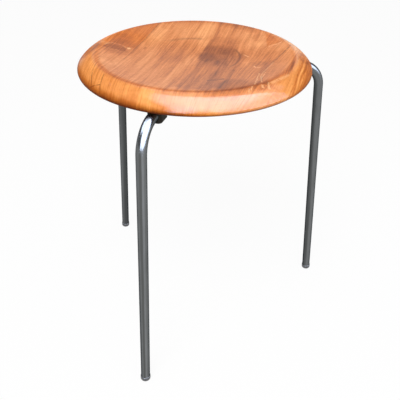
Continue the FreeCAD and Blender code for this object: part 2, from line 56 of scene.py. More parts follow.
PICTURE_WIDTH = 400
SENSOR_WIDTH = 36.0

Rgb = tuple[float, float, float]
Point = tuple[float, float]
Operand = Union[float, int, "Value"]
Link = Union[bpy.types.NodeSocket, "Value", float, int, Sequence[float]]


# Shader building


def arithmetic(operation: str, turned: bool = False) -> Callable[["Value", Operand], "Value"]:
    """Makes a method of Value that adds one Math node.

    Args:
        operation: the node's operation.
        turned: whether the other operand comes first, as in 1 - mask.

    Returns:
        The method.
    """

    def method(self: "Value", other: Operand) -> "Value":
        """The operation's result on this value and the other operand."""
        return self.maths(operation, *((other, self) if turned else (self, other)))

    return method


@dataclass(frozen=True)
class Value:
    """One number that varies over a surface: an output socket that takes Python arithmetic."""

    net: "Net"
    socket: bpy.types.NodeSocket

    __add__, __radd__ = arithmetic("ADD"), arithmetic("ADD", turned=True)
    __sub__, __rsub__ = arithmetic("SUBTRACT"), arithmetic("SUBTRACT", turned=True)
    __mul__, __rmul__ = arithmetic("MULTIPLY"), arithmetic("MULTIPLY", turned=True)
    __truediv__ = arithmetic("DIVIDE")
    least, most = arithmetic("MINIMUM"), arithmetic("MAXIMUM")

    def maths(self, operation: str, *operands: Operand) -> "Value":
        """Adds a Math node with these operands, in this order."""
        node = self.net.node("ShaderNodeMath", {"operation": operation}, dict(enumerate(operands)))
        return Value(self.net, node.outputs[0])

    def __abs__(self) -> "Value":
        """The distance from zero."""
        return self.maths("ABSOLUTE", self)

    def sine(self) -> "Value":
        """The sine of an angle in radians."""
        return self.maths("SINE", self)

    def root(self) -> "Value":
        """The square root."""
        return self.maths("SQRT", self)

    def ease(self, low: float, high: float) -> "Value":
        """0 at low and below or beyond it, 1 at high, with a soft S between.

        Args:
            low: the value that gives 0.
            high: the value that gives 1, on either side of low.

        Returns:
            The eased value.
        """
        ends = {"From Min": min(low, high), "From Max": max(low, high),
                "To Min": float(low > high), "To Max": float(low < high)}
        settings = {"interpolation_type": "SMOOTHSTEP"}
        node = self.net.node("ShaderNodeMapRange", settings, {"Value": self, **ends})
        return Value(self.net, node.outputs[0])

    def band(self, start: float, full: float, fall: float, end: float) -> "Value":
        """0 up to start, 1 from full to fall and 0 again from end, with soft sides."""
        return self.ease(start, full) * self.ease(end, fall)


class Net:
    """The node tree of one material or world, and the ways to add to it."""

    def __init__(self, tree: bpy.types.NodeTree) -> None:
        """Empties the tree.

        Args:
            tree: the node tree to build in.
        """
        self.tree = tree
        tree.nodes.clear()

    def node(self, kind: str, settings: Optional[dict[str, Any]] = None,
             inputs: Optional[dict[Union[str, int], Link]] = None) -> bpy.types.Node:
        """Adds one node.

        Args:
            kind: the node's type name.
            settings: the node's own properties, set before its sockets; "stops" holds a ramp's
                places and colours.
            inputs: for each socket, by name or number, a value or what is linked to it. A colour is
                given without its alpha, which is full.

        Returns:
            The node.
        """
        made = self.tree.nodes.new(kind)
        for name, setting in (settings or {}).items():
            if name == "stops":
                self._stops(made.color_ramp, setting)
            else:
                setattr(made, name, setting)
        for name, source in (inputs or {}).items():
            socket = made.inputs[name]
            if isinstance(source, Value):
                source = source.socket
            if isinstance(source, bpy.types.NodeSocket):
                self.tree.links.new(source, socket)
            else:
                socket.default_value = (*source, 1.0) if socket.type == "RGBA" else source
        return made

    @staticmethod
    def _stops(ramp: bpy.types.ColorRamp, stops: Sequence[tuple[float, Rgb]]) -> None:
        """Puts these places and colours on a ramp that starts with two stops."""
        for place, _ in stops[2:]:
            ramp.elements.new(place)
        for element, (place, colour) in zip(ramp.elements, stops):
            element.position = place
            element.color = (*colour, 1.0)

    def parts(self, vector: Link) -> tuple[Value, Value, Value]:
        """The three numbers of a vector."""
        split = self.node("ShaderNodeSeparateXYZ", inputs={0: vector})
        return tuple(Value(self, output) for output in split.outputs)

    def vector(self, x: Operand, y: Operand, z: Operand = 0.0) -> bpy.types.NodeSocket:
        """A vector of three numbers."""
        return self.node("ShaderNodeCombineXYZ", inputs={0: x, 1: y, 2: z}).outputs[0]

    def attribute(self, name: str) -> tuple[Value, Value, Value]:
        """The three numbers that the mesh keeps for each of its points under this name."""
        return self.parts(self.node("ShaderNodeAttribute", {"attribute_name": name}).outputs["Vector"])

    def place(self) -> tuple[Value, Value, Value]:
        """The shaded point in millimetres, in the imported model's frame."""
        point = self.node("ShaderNodeTexCoord").outputs["Object"]
        scaled = self.node("ShaderNodeVectorMath", {"operation": "SCALE"}, {0: point, "Scale": 1 / MM})
        return self.parts(scaled.outputs[0])

    def noise(self, place: Sequence[Operand], detail: float = 2.0, roughness: float = 0.5) -> Value:
        """Soft noise about 0, mostly within -0.5 and 0.5.

        Args:
            place: where to read the noise, two or three numbers, one unit to a blob.
            detail: how many finer layers it has.
            roughness: how strong the finer layers are.

        Returns:
            The noise.
        """
        sockets = {"Vector": self.vector(*place), "Scale": 1.0, "Detail": detail, "Roughness": roughness}
        made = self.node("ShaderNodeTexNoise", {"noise_dimensions": "3D"}, sockets)
        return Value(self, made.outputs[0]) - 0.5

    def cells(self, place: Sequence[Operand]) -> Value:
        """The distance to the nearest of scattered points, about one to a unit cube."""
        made = self.node("ShaderNodeTexVoronoi", inputs={"Vector": self.vector(*place), "Scale": 1.0})
        return Value(self, made.outputs["Distance"])

    def mix(self, share: Operand, first: Link, second: Link,
            blend: str = "MIX") -> bpy.types.NodeSocket:
        """Blends two colours.

        Args:
            share: how much of the second colour shows.
            first: the colour underneath.
            second: the colour on top.
            blend: how the second one is laid on.

        Returns:
            The blended colour's socket.
        """
        settings = {"data_type": "RGBA", "blend_type": blend}
        return self.node("ShaderNodeMix", settings, {0: share, 6: first, 7: second}).outputs[2]

    def ramp(self, share: Value, stops: Sequence[tuple[float, Rgb]]) -> bpy.types.NodeSocket:
        """A colour read from a ramp of stops."""
        return self.node("ShaderNodeValToRGB", {"stops": stops}, {0: share}).outputs[0]

    def relief(self, height: Value) -> bpy.types.NodeSocket:
        """The normal of a surface raised by this many millimetres."""
        return self.node("ShaderNodeBump", inputs={"Distance": MM, "Height": height}).outputs[0]


def new_material(name: str) -> tuple[bpy.types.Material, Net]:
    """Makes an empty node material, with its net."""
    material = bpy.data.materials.new(name)
    material.use_nodes = True
    return material, Net(material.node_tree)


@dataclass(frozen=True)
class Finish:
    """One finish of the stool, made around a Principled shader."""

    name: str

    def sockets(self, net: Net) -> dict[str, Link]:
        """What the shader's sockets get, which each finish says for itself.

        Args:
            net: the material's net.

        Returns:
            For each socket by name, a value or what is linked to it.
        """
        raise NotImplementedError

    def material(self) -> bpy.types.Material:
        """The finished material."""
        material, net = new_material(self.name)
        shader = net.node("ShaderNodeBsdfPrincipled", inputs=self.sockets(net))
        net.node("ShaderNodeOutputMaterial", inputs={"Surface": shader.outputs[0]})
        return material


# Mesh building


@dataclass(frozen=True)
class Weave:
    """A surface worked out on a grid of rows and columns, as whole arrays.

    Each row closes on itself, and a row whose points all lie together is closed as a pole. Each
    array kept under a name gives three numbers for each point, which the materials read.
    """

    points: np.ndarray
    rows_meet: bool = False
    kept: dict[str, np.ndarray] = field(default_factory=dict)

    def faces(self) -> list[tuple[int, ...]]:
        """The grid's quads, with triangles where a row shrinks to a pole."""
        rows, columns = self.points.shape[:2]
        index = np.arange(rows * columns).reshape(rows, columns)
        poles = np.ptp(self.points, axis=1).max(axis=1) < 1e-9
        index[poles] = index[poles, :1]
        index = np.concatenate([index, index[:, :1]], axis=1)
        if self.rows_meet:
            index = np.concatenate([index, index[:1]], axis=0)
        a, b = index[:-1, :-1].ravel(), index[1:, :-1].ravel()
        c, d = index[1:, 1:].ravel(), index[:-1, 1:].ravel()
        first_pole, last_pole = a == d, b == c
        plain = ~(first_pole | last_pole)
        quads = np.stack([a, b, c, d], axis=1)[plain]
        fans = np.concatenate([np.stack([a, b, c], axis=1)[first_pole],
                               np.stack([a, b, d], axis=1)[last_pole]])
        return quads.tolist() + fans.tolist()


def make_piece(name: str, weaves: Sequence[Weave]) -> bpy.types.Object:
    """Puts one or more woven surfaces into one smooth-shaded object at the origin.

    Args:
        name: the piece's name.
        weaves: its surfaces, in millimetres.

    Returns:
        The object, linked to the scene.
    """
    corners, faces = [], []
    start = 0
    for weave in weaves:
        corners.append(weave.points.reshape(-1, 3) * MM)
        faces += [tuple(start + i for i in face) for face in weave.faces()]
        start += len(corners[-1])
    mesh = bpy.data.meshes.new(name)
    mesh.from_pydata(np.concatenate(corners).tolist(), [], faces)
    for kept_name in weaves[0].kept:
        kept = np.concatenate([weave.kept[kept_name].reshape(-1, 3) for weave in weaves])
        layer = mesh.attributes.new(kept_name, "FLOAT_VECTOR", "POINT")
        layer.data.foreach_set("vector", kept.astype(np.float32).ravel())
    mesh.shade_smooth()
    drop_loose_points(mesh)
    return set_out(name, mesh)


def set_out(name: str, data: bpy.types.ID) -> bpy.types.Object:
    """Makes an object of this data and links it to the scene."""
    made = bpy.data.objects.new(name, data)
    bpy.context.scene.collection.objects.link(made)
    return made


def drop_loose_points(mesh: bpy.types.Mesh) -> None:
    """Deletes the points that no face uses, such as a pole's spare ones."""
    work = bmesh.new()
    work.from_mesh(mesh)
    loose = [vertex for vertex in work.verts if not vertex.link_faces]
    bmesh.ops.delete(work, geom=loose, context="VERTS")
    work.to_mesh(mesh)
    work.free()


def dress(piece: bpy.types.Object, material: bpy.types.Material) -> None:
    """Gives a piece this material in all its slots."""
    slots = piece.data.materials
    if not slots:
        slots.append(material)
    for number in range(len(slots)):
        slots[number] = material


def eased(value: np.ndarray, low: float, high: float) -> np.ndarray:
    """0 at low and beyond it, 1 at high, with the soft S 3 t^2 - 2 t^3 between, low above high or not."""
    share = np.clip((value - low) / (high - low), 0.0, 1.0)
    return share * share * (3.0 - 2.0 * share)


def turn_about_axis(points: np.ndarray, azimuth: float) -> np.ndarray:
    """Turns points about the seat's axis.

    A point (x, y, z) goes to (x cos a - y sin a, x sin a + y cos a, z).

    Args:
        points: an array whose last axis is x, y and z.
        azimuth: the angle in degrees, anticlockwise from above.

    Returns:
        The turned points.
    """
    a = math.radians(azimuth)
    x, y, z = np.moveaxis(points, -1, 0)
    return np.stack([x * math.cos(a) - y * math.sin(a), x * math.sin(a) + y * math.cos(a), z], axis=-1)


# The seat's section


@dataclass(frozen=True)
class Arc:
    """A round stretch of the seat's section, in the half plane of radius and height.

    Its points are centre + radius (cos t, sin t), with t from start to end in radians. side is 1
    where the wood lies inside the arc, and -1 where it lies outside, as in the dish.
    """

    centre: Point
    radius: float
    start: float
    end: float
    side: int = 1

    def points(self, steps: int, depth: float = 0.0) -> np.ndarray:
        """Points along the arc, this deep under the surface.

        Args:
            steps: how many stretches the arc is cut into.
            depth: how far into the wood the points lie.

        Returns:
            steps + 1 rows of radius and height.
        """
        t = np.linspace(self.start, self.end, steps + 1)
        radius = self.radius - self.side * depth
        return np.stack([self.centre[0] + radius * np.cos(t), self.centre[1] + radius * np.sin(t)], axis=1)


@dataclass(frozen=True)
class SeatSection:
    """The seat's section from its centre to its lower edge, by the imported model's sizes."""

    top: float = 451.5
    radius: float = 165.0
    crest_radius: float = 139.7
    dish_depth: float = 9.0
    launch: float = math.radians(12.0)
    shoulder: float = 4.0
    widest_drop: float = 17.6
    edge_radius: float = 4.6
    dish_steps: int = 120
    roll_steps: int = 40
    corner_steps: int = 8

    def arcs(self) -> list[Arc]:
        """The dish, the roll, the shoulder and the lower edge, from the centre outwards.

        The dish is a sphere through its lowest point and the crest. The roll is an arc that leaves
        the crest at the launch angle and meets the shoulder without a corner: its radius is
        (run^2 + drop^2 - s^2) / (2 (drop cos l - run sin l - s)), where run and drop lead from the
        crest to the shoulder's centre, s is the shoulder's radius and l the launch angle.
        """
        bowl = (self.crest_radius**2 + self.dish_depth**2) / (2 * self.dish_depth)
        rise = math.asin(self.crest_radius / bowl)
        run = self.radius - self.crest_radius - self.shoulder
        drop = self.widest_drop
        lean = drop * math.cos(self.launch) - run * math.sin(self.launch) - self.shoulder
        roll = (run**2 + drop**2 - self.shoulder**2) / (2 * lean)
        middle = (self.crest_radius - roll * math.sin(self.launch), self.top - roll * math.cos(self.launch))
        corner = (self.radius - self.shoulder, self.top - drop)
        meeting = math.atan2(corner[1] - middle[1], corner[0] - middle[0])
        edge = (self.radius - self.edge_radius, corner[1])
        up = math.pi / 2
        return [
            Arc((0.0, self.top - self.dish_depth + bowl), bowl, -up, rise - up, side=-1),
            Arc(middle, roll, up - self.launch, meeting),
            Arc(corner, self.shoulder, meeting, 0.0),
            Arc(edge, self.edge_radius, 0.0, -up),
        ]

    def line(self, depth: float = 0.0, thinning: int = 1) -> np.ndarray:
        """The section's points from the centre to the lower edge.

        Args:
            depth: how far under the surface they lie.
            thinning: by how much fewer points there are than on the outside.

        Returns:
            Rows of radius and height.
        """
        steps = [self.dish_steps, self.roll_steps, self.corner_steps, self.corner_steps]
        runs = [arc.points(max(2, count // thinning), depth) for arc, count in zip(self.arcs(), steps)]
        return np.concatenate([runs[0]] + [run[1:] for run in runs[1:]])


def line_lengths(line: np.ndarray) -> np.ndarray:
    """How far along a line of points each point lies."""
    steps = np.linalg.norm(np.diff(line, axis=0), axis=1)
    return np.concatenate([[0.0], np.cumsum(steps)])


# Marks of growth and of use on the seat, and some painted shade, placed on its veneer laid out flat


@dataclass(frozen=True)
class Streak:
    """A band of the grain that is darker or lighter than the rest.

    across is where its middle lies, half_width says how wide it is, and start and end where it
    fades out along the grain, from within to beyond them, all in millimetres.
    """

    across: float
    half_width: float
    start: float
    end: float
    tone: float
    within: float = 10.0
    beyond: float = 16.0

    def cover(self, across: np.ndarray, along: np.ndarray) -> np.ndarray:
        """1 inside the band, easing to 0 beside it and beyond its ends."""
        side = eased(np.abs(across - self.across), self.half_width * 1.25 + 0.8, self.half_width * 0.65)
        side = side * eased(along, self.start - self.beyond, self.start + self.within)
        return side * eased(along, self.end + self.beyond, self.end - self.within)


@dataclass(frozen=True)
class Blot:
    """A soft darker or lighter spot: where its middle is, its half sizes and its tone."""

    middle: Point
    reach: Point
    tone: float

    def cover(self, across: np.ndarray, along: np.ndarray) -> np.ndarray:
        """1 at the middle, easing to 0 at the reach."""
        x, y = (across - self.middle[0]) / self.reach[0], (along - self.middle[1]) / self.reach[1]
        return eased(np.hypot(x, y), 1.1, 0.6)


@dataclass(frozen=True)
class Patch:
    """A place where another piece of the leaf shows: its clockwise corners, tone, redness and softness."""

    corners: tuple[Point, ...]
    tone: float
    redness: float
    soft: float

    def cover(self, across: np.ndarray, along: np.ndarray) -> np.ndarray:
        """1 inside the outline and 0 outside it, by the least depth inside its sides."""
        x, y = np.array(self.corners).T
        run, rise = np.roll(x, -1) - x, np.roll(y, -1) - y
        depth = (across[..., None] - x) * rise - (along[..., None] - y) * run
        return eased((depth / np.hypot(run, rise)).min(axis=-1), -self.soft, self.soft)


@dataclass(frozen=True)
class RingMark:
    """Part of the ring that a wet pot left: its middle, its radius and the arc it keeps, in degrees."""

    middle: Point
    radius: float
    towards: float
    half_arc: float
    strength: float
    half_width: float

    def cover(self, across: np.ndarray, along: np.ndarray) -> np.ndarray:
        """1 on the kept arc, easing to 0 beside it and beyond its ends."""
        x, y = across - self.middle[0], along - self.middle[1]
        off = np.abs((np.degrees(np.arctan2(y, x)) - self.towards + 180.0) % 360.0 - 180.0)
        line = eased(np.abs(np.hypot(x, y) - self.radius), self.half_width, 0.3)
        return line * eased(off, self.half_arc, self.half_arc * 0.6)


@dataclass(frozen=True)
class Crack:
    """A thin line from one point of the veneer to another: an open crack or a torn splinter.

    tip is the length over which it fades at its ends, in millimetres.
    """

    start: Point
    end: Point
    width: float
    strength: float
    tip: float = 2.5

    def line(self, spot: bpy.types.NodeSocket, net: Net) -> Value:
        """The crack's strength on it, easing to 0 beside it and at its ends.

        Args:
            spot: the point (across, along, 1) that is shaded.
            net: the net to build in.

        Returns:
            The strength.
        """
        run = np.subtract(self.end, self.start)
        half = float(np.hypot(*run)) / 2
        way = run / (2 * half)
        middle = np.add(self.start, self.end) / 2
        beside = self.measure(np.array([-way[1], way[0]]) / self.width, middle, spot, net)
        beyond = self.measure(way / self.tip, middle, spot, net) - (half / self.tip - 1.0)
        return beside.most(beyond).ease(1.0, 0.3) * self.strength

    @staticmethod
    def measure(way: np.ndarray, middle: np.ndarray, spot: bpy.types.NodeSocket, net: Net) -> Value:
        """How far a point lies from the middle, measured along a way and in its length."""
        row = (float(way[0]), float(way[1]), -float(way @ middle))
        dot = net.node("ShaderNodeVectorMath", {"operation": "DOT_PRODUCT"}, {0: spot, 1: row})
        return abs(Value(net, dot.outputs["Value"]))


STREAKS = tuple(Streak(*row) for row in (
    (-76, 10, 20, 112, 0.2), (-62, 5, -72, 0, 0.1), (-44, 4, -35, 58, -0.11), (-24, 6.5, -35, 64, -0.13),
    (-38, 5, -64, -14, -0.18), (-38, 5, 62, 100, 0.16), (-19, 5, -96, -50, -0.16), (-18, 5, 8, 100, 0.12),
    (-3, 7, 34, 68, 0.2), (-2, 3, -134, -62, -0.14), (-10, 11, 82, 152, 0.24), (-8, 5, -130, -10, 0.13),
    (-21, 9, -190, -142, 0.3), (-36, 1.2, -142, -105, -0.13), (1, 1.8, -146, -88, -0.18),
    (3, 3, -15, 50, 0.08), (7.5, 1.8, 30, 150, -0.26), (10, 8, -128, -30, -0.1), (24, 4, -132, -70, -0.18),
    (20, 2.2, 78, 150, -0.09), (34.5, 3.5, 60, 150, -0.15), (48.5, 2, 60, 150, -0.11),
    (28, 20.5, -12, 80, -0.27), (42, 8, -15, 55, -0.1), (15.5, 5.5, -132, -12, -0.27),
    (27, 5, -132, -12, -0.2), (42, 5, -110, -50, -0.14), (50, 3.5, 2, 50, -0.2), (57, 3, 84, 118, 0.16),
    (68, 2.2, 60, 108, -0.24), (72, 8, -118, -14, -0.17), (106, 4, 78, 104, 0.14),
    (36, 3.5, -132, -12, -0.24), (46, 7, -132, -12, -0.38), (60, 7.5, -132, 28, -0.27),
    (72, 8, 58, 118, 0.2), (106.5, 4.5, -42, 8, -0.22), (126, 8, 24, 70, 0.16), (139.8, 1.2, -44, 8, -0.38),
    (145, 2.6, -80, 16, 0.12), (148.2, 0.9, -80, 30, -0.2), (151.4, 1.1, -66, 22, -0.46),
    (154.1, 1.1, -60, 24, 0.26), (156.9, 1.3, -50, 40, -0.36), (-3, 3.5, -50, 5, -0.11),
    (163, 2.6, -60, 60, -0.22),
))
CRACKS = tuple(Crack(*row) for row in (
    ((-89, 98), (-89.5, -20), 1.6, 0.42), ((-89.5, -20), (-88, -58), 1.3, 0.25),
    ((115, 74), (110.5, 4), 1.5, 0.62), ((66, -32), (69, -66), 2.2, 0.5), ((69, -66), (75, -120), 2, 0.45),
    ((38.5, -84.5), (51.8, -78.1), 3.2, 0.8), ((51, -78.5), (62, -71), 3.2, 0.75),
    ((-117, -72), (-111, -112), 1, 0.26), ((-111, -112), (-105, -137), 1.1, 0.6),
    ((-90, -118), (-88, -152), 1.1, 0.52), ((-110, -138.5), (-88, -137.5), 1.2, 0.62),
    ((113, -50), (121, -72), 2, 0.4), ((139.4, 10), (139.6, -30), 1.6, 0.34),
    ((118.1, -84), (118.2, -69), 2.4, 0.38), ((128.2, -71), (128.2, -80), 2.2, 0.75),
    ((127, -76.2), (119.6, -86.8), 1.5, 0.36), ((72, -143.5), (94, -135.5), 1.2, 0.14),
))
TEARS = tuple(Crack(*row) for row in (
    ((87, 62), (88, 68), 1.4, 0.59), ((88, 68), (95, 75), 1.6, 0.65), ((95, 75), (98, 84), 1.4, 0.65),
    ((64, 27), (74, 19), 1.4, 0.52), ((88.7, -13.1), (95, -20.3), 1.4, 0.64),
    ((95, -20.3), (101, -17), 1.4, 0.64), ((106.5, -39.8), (116.4, -85.9), 1.2, 0.46),
    ((115, -91.4), (118.1, -101.6), 1.5, 0.52), ((114.1, -98.5), (116.5, -106.9), 1.4, 0.47),
    ((111.5, 4), (110.8, -37.3), 1.1, 0.36), ((110.8, -37.3), (112, -48.6), 1.1, 0.44),
    ((112, -48.6), (122.3, -76.8), 1.1, 0.44), ((113.9, -35.2), (116.7, -61.6), 1.1, 0.44),
    ((125.2, -81.4), (128.8, -88.9), 2, 0.58), ((128.8, -72.2), (133.6, -85.7), 1.3, 0.55),
    ((131.3, -73.4), (134.2, -58.1), 1.7, 0.42), ((134.2, -58.1), (140.2, -35.3), 1.7, 0.42),
    ((-133, -20), (-130, -8), 1.2, 0.45), ((-130, -7.5), (-110, -7.5), 1.1, 0.3),
    ((-110, -8), (-102, -14), 1.1, 0.3), ((-100, -10.5), (-95, -15.5), 3.4, 0.9),
))
BLOTS = tuple(Blot(*row) for row in (
    ((0, 10), (68, 50), -0.17), ((16, 4), (17, 20), -0.26), ((78, 34), (24, 36), -0.13),
    ((28, 36), (26, 20), -0.14), ((-122, 16), (20, 24), -0.16), ((112, 26), (24, 30), -0.15),
    ((-108, -16), (34, 34), -0.15), ((104, -36), (32, 52), -0.12), ((151, 42), (13, 26), -0.34),
    ((161, 20), (9, 34), -0.24), ((-151, -38), (16, 34), -0.55), ((-140, 2), (8, 32), 0.18),
    ((86, -98), (36, 34), -0.32), ((92, -4), (15, 12), -0.17), ((123, -82), (15, 15), -0.18),
    ((36, -168), (48, 13), -0.2), ((-7, -171), (14, 8), 0.16), ((-34, -164), (20, 11), -0.14),
    ((-1, -14), (11, 26), 0.2), ((-104, -56), (24, 22), -0.07), ((12, -131), (13, 10), 0.18),
    ((39, -129), (12, 9), 0.16), ((76, -129), (16, 9), -0.12), ((161, -43), (9, 20), 0.18),
    ((-77, 26), (11, 18), -0.15), ((-74, 95), (13, 16), -0.15), ((75, 95), (13, 18), -0.15),
    ((63, -118), (13, 9), 0.15), ((-100, -62), (28, 26), 0.11), ((-116, -26), (24, 16), -0.12),
    ((-76, 0), (2.2, 7), -0.3), ((-112, -88), (16, 20), 0.12),
))
PATCHES = tuple(Patch(*row) for row in (
    (((-160, -9), (-160, 150), (-89.5, 150), (-89.5, -9)), -0.13, 0.85, 0.8),
    (((74, 112), (97, 83), (86, 61)), -0.14, 0.9, 0.8),
    (((-131, -8.5), (-112, -8), (-102, -14), (-98, -27), (-134, -27)), -0.22, 0.45, 0.9),
))
RINGS = tuple(RingMark(*row) for row in (
    ((-2, 4), 65, 6, 38, 0.7, 2.6), ((0, 3), 67, 119, 28, 0.34, 6),
))


def marks_on(across: np.ndarray, along: np.ndarray) -> np.ndarray:
    """What the streaks, blots, patches, rings and painted shade do to the veneer at these places.

    All but the rings are first shifted by a few slow and quick sines, so that no side runs straight.
    As painted shade, the near half is a little darker all over, and so is a band inside the far crest.

    Args:
        across: places across the grain.
        along: places along the grain.

    Returns:
        For each place its change of tone, painted shade included, its redness and the strength of the
        rings.
    """
    sway = 1.0 * np.sin(along / 21.0 + across / 17.0) + 0.5 * np.sin(along / 8.3 - across / 11.0)
    jag = 1.1 * np.sin(across / 1.7 + along / 5.0) + 0.8 * np.sin(across / 0.9 - along / 3.1 + 1.0)
    tone, red = np.zeros_like(across), np.zeros_like(across)
    for streak in STREAKS:
        shift = 5.0 * np.sin(streak.across * 1.3 + across / 2.3)
        tone = tone + streak.tone * streak.cover(across + sway, along + shift)
    for blot in BLOTS:
        tone = tone + blot.tone * blot.cover(across + sway, along + jag)
    for patch in PATCHES:
        inside = patch.cover(across + sway * 0.4, along + jag)
        tone = tone + inside * patch.tone
        red = np.maximum(red, inside * patch.redness)
    # painted shade: darker towards the near half, and in a band inside the far crest
    tone = tone - 0.08 * eased(along, 20.0, -50.0)
    shade = 0.26 - 0.16 * eased(across, 50.0, 85.0)
    tone = tone - shade * eased(np.hypot(across, along), 122.0, 137.0) * eased(along, 62.0, 118.0)
    ring = np.max([mark.strength * mark.cover(across, along) for mark in RINGS], axis=0)
    return np.stack([tone, red, ring], axis=-1)


# Finishes


@dataclass(frozen=True)
class TeakFace(Finish):
    """Old orange teak under thin worn lacquer, with the marks of long use and some painted shade.

    The mesh keeps, for each point, its place on the veneer laid out flat: across the grain, along
    the grain, and the distance from the centre over the surface. It also keeps what the marks and
    the painted shade do there: the change of tone, the redness and the rings. The numbers given to
    ease and band are places on that sheet, in millimetres.
    """

    name: str = "teak_face"
    bright: Rgb = (0.97, 0.425, 0.155)
    light: Rgb = (0.92, 0.385, 0.130)
    middle: Rgb = (0.63, 0.190, 0.042)
    dark: Rgb = (0.28, 0.064, 0.009)
    deep: Rgb = (0.10, 0.022, 0.004)
    red: Rgb = (1.0, 0.84, 0.45)
    roll_tint: Rgb = (1.0, 0.97, 0.78)
    crack: Rgb = (0.16, 0.036, 0.008)
    splinter: Rgb = (0.98, 0.53, 0.225)
    # colours for the roll's low edge: part brown veneer, part painted shade
    brown_and_shade: Rgb = (1.0, 0.78, 0.38)
    burnt_and_shade: Rgb = (0.14, 0.026, 0.004)
    crest: float = 140.0
    lip: float = 175.5

    def sockets(self, net: Net) -> dict[str, Link]:
        """The shader's sockets, built up from the grain to the marks of use and the painted shade."""
        across, along, out = net.attribute("veneer")
        # shift holds the marks' change of tone, painted shade from marks_on included
        shift, patch_red, ring = net.attribute("marks")
        past = out - self.crest
        sway = net.noise((across * 0.012, along * 0.014), detail=1.0)
        figure = self.figure(net, across + sway * 7.0, along)
        # painted shade: a darker band just inside the crest, strongest on the near side and left out at the
        # far left
        crest_shade = past.band(-7.0, -2.0, 0.0, 3.0) * (0.2 + along.ease(70.0, 0.0) * 0.4)
        crest_shade = crest_shade * across.ease(-131.0, -118.0)
        torn = across.band(88.0, 104.0, 130.0, 142.0) * along.band(-106.0, -96.0, -70.0, -44.0)
        rolled = (past - torn * 9.0).ease(-1.0, 7.0)
        tone = figure + shift - crest_shade * 0.30
        flecks = net.noise((across * 0.42, along * 0.11, 40.0), detail=3.0, roughness=0.6)
        tone = tone * (1.0 - rolled * 0.10) + rolled * (0.25 + flecks * 0.35)
        shades = (self.deep, self.dark, self.middle, self.light, self.bright)
        colour = net.ramp(tone * 0.7 + 0.25, tuple(zip((0.0, 0.25, 0.6, 0.95, 1.0), shades)))
        # the leaf patches' redness is their own colour; the reddening at the crest is painted shade
        colour = net.mix(crest_shade.most(patch_red), colour, self.red, "MULTIPLY")
        bleached = across.ease(95.0, 120.0) * along.ease(-88.0, -105.0) * out.ease(157.0, 162.0)
        colour = net.mix(rolled - bleached * 1.4, colour, self.roll_tint, "MULTIPLY")
        dark, pale = self.cracks(net, across, along)
        colour = net.mix(dark.most(ring), colour, self.crack)
        colour = net.mix(pale, colour, self.splinter)
        # painted shade, with some real browning: the low part of the roll, which faces down, darkens
        # towards the lip
        edge = self.brown_and_shaded_edge(net, across, along, out)
        colour = net.mix((edge * 1.8).least(1.0), colour, self.brown_and_shade, "MULTIPLY")
        wear = net.noise((across * 0.03, along * 0.03), detail=3.0)
        return {
            "Base Color": net.mix(edge, colour, self.burnt_and_shade),
            "Roughness": 0.50 + wear * 0.15,
            "Specular IOR Level": 0.02,
            "Coat Weight": self.lacquer(across, along, out, rolled, wear),
            "Coat Roughness": 0.13,
            "Normal": net.relief(figure * 0.02 - dark * 0.15 - pale * 0.06),
        }

    def brown_and_shaded_edge(self, net: Net, across: Value, along: Value, out: Value) -> Value:
        """The low part of the roll, turned brown and in painted shade: higher up at the left, least at the
        right front.

        Args:
            net: the net to build in.
            across, along, out: the place on the sheet.

        Returns:
            0 above the brown and shaded part, up to 1 at the lip.
        """
        right = across.ease(125.0, 158.0) * along.ease(-95.0, -25.0) * 0.8
        side = across.ease(45.0, -60.0).most(right)
        low = 168.5 + across.ease(10.0, 60.0) * 2.5 * (1.0 - right) - side * 9.5
        kept = across.ease(10.0, 90.0) * along.ease(40.0, -20.0) * (1.0 - right) * 0.75
        uneven = net.noise((across * 0.22, along * 0.03, 17.0), detail=3.0, roughness=0.7)
        edge = ((out - low + uneven * 7.0) / (self.lip - low)).ease(0.0, 1.0) * (1.0 - kept)
        return edge.most(out.ease(171.8, self.lip) * 0.85)

    def lacquer(self, across: Value, along: Value, out: Value, rolled: Value, wear: Value) -> Value:
        """How much clear lacquer is left.

        It is thickest in the near half and on the far right of the crest, thinner on the repaired
        leaf and on dry spots, and all but gone from the rubbed left and right ends of the roll, its
        lower edge and, in part, the brow of the crest.

        Args:
            across, along, out: the place on the sheet.
            rolled: 1 on the roll, 0 in the dish.
            wear: soft noise.

        Returns:
            The lacquer's weight.
        """
        past = out - self.crest
        laid = 0.30 + along.ease(40.0, -30.0) * 0.20 + along.ease(-30.0, -90.0) * 0.05
        laid = laid + along.ease(40.0, 80.0) * 0.07 + rolled * 0.06 + wear * 0.20
        leaf = across.ease(-60.0, -95.0) * along.band(-55.0, -25.0, 30.0, 70.0)
        far_crest = past.band(-4.0, 2.0, 7.0, 13.0) * across.ease(105.0, 125.0) * along.ease(-8.0, 10.0)
        dry = across.ease(50.0, 85.0) * along.ease(-70.0, -92.0) * (1.0 - rolled)
        dry = dry.most(across.ease(112.0, 144.0) * out.ease(170.0, 161.0) * rolled)
        laid = laid - leaf * 0.11 - dry * 0.13 + far_crest * 0.34
        far_left = across.ease(-132.0, -150.0) * along.ease(-105.0, -65.0)
        far_left = far_left * (1.0 - along.ease(-66.0, -46.0) * out.ease(147.0, 153.0))
        worn = across - out.ease(156.0, 168.0) * 26.0
        rubbed = worn.ease(0.0, -23.0).most(across.ease(142.0, 160.0) * 0.85)
        rubbed = rubbed * rolled * (0.97 - far_left * 0.5)
        brow = past.band(-8.0, -3.0, 7.0, 13.0) * across.band(35.0, 70.0, 130.0, 142.0)
        brow = brow.most(past.band(-9.0, -4.0, 0.0, 4.0)) * along.ease(60.0, 0.0)
        faded = (out + across.ease(10.0, 60.0) * 4.0 - across.ease(65.0, 115.0) * 8.0).ease(167.5, 177.0)
        return laid * (1.0 - faded.most(rubbed).most(brow * 0.45))

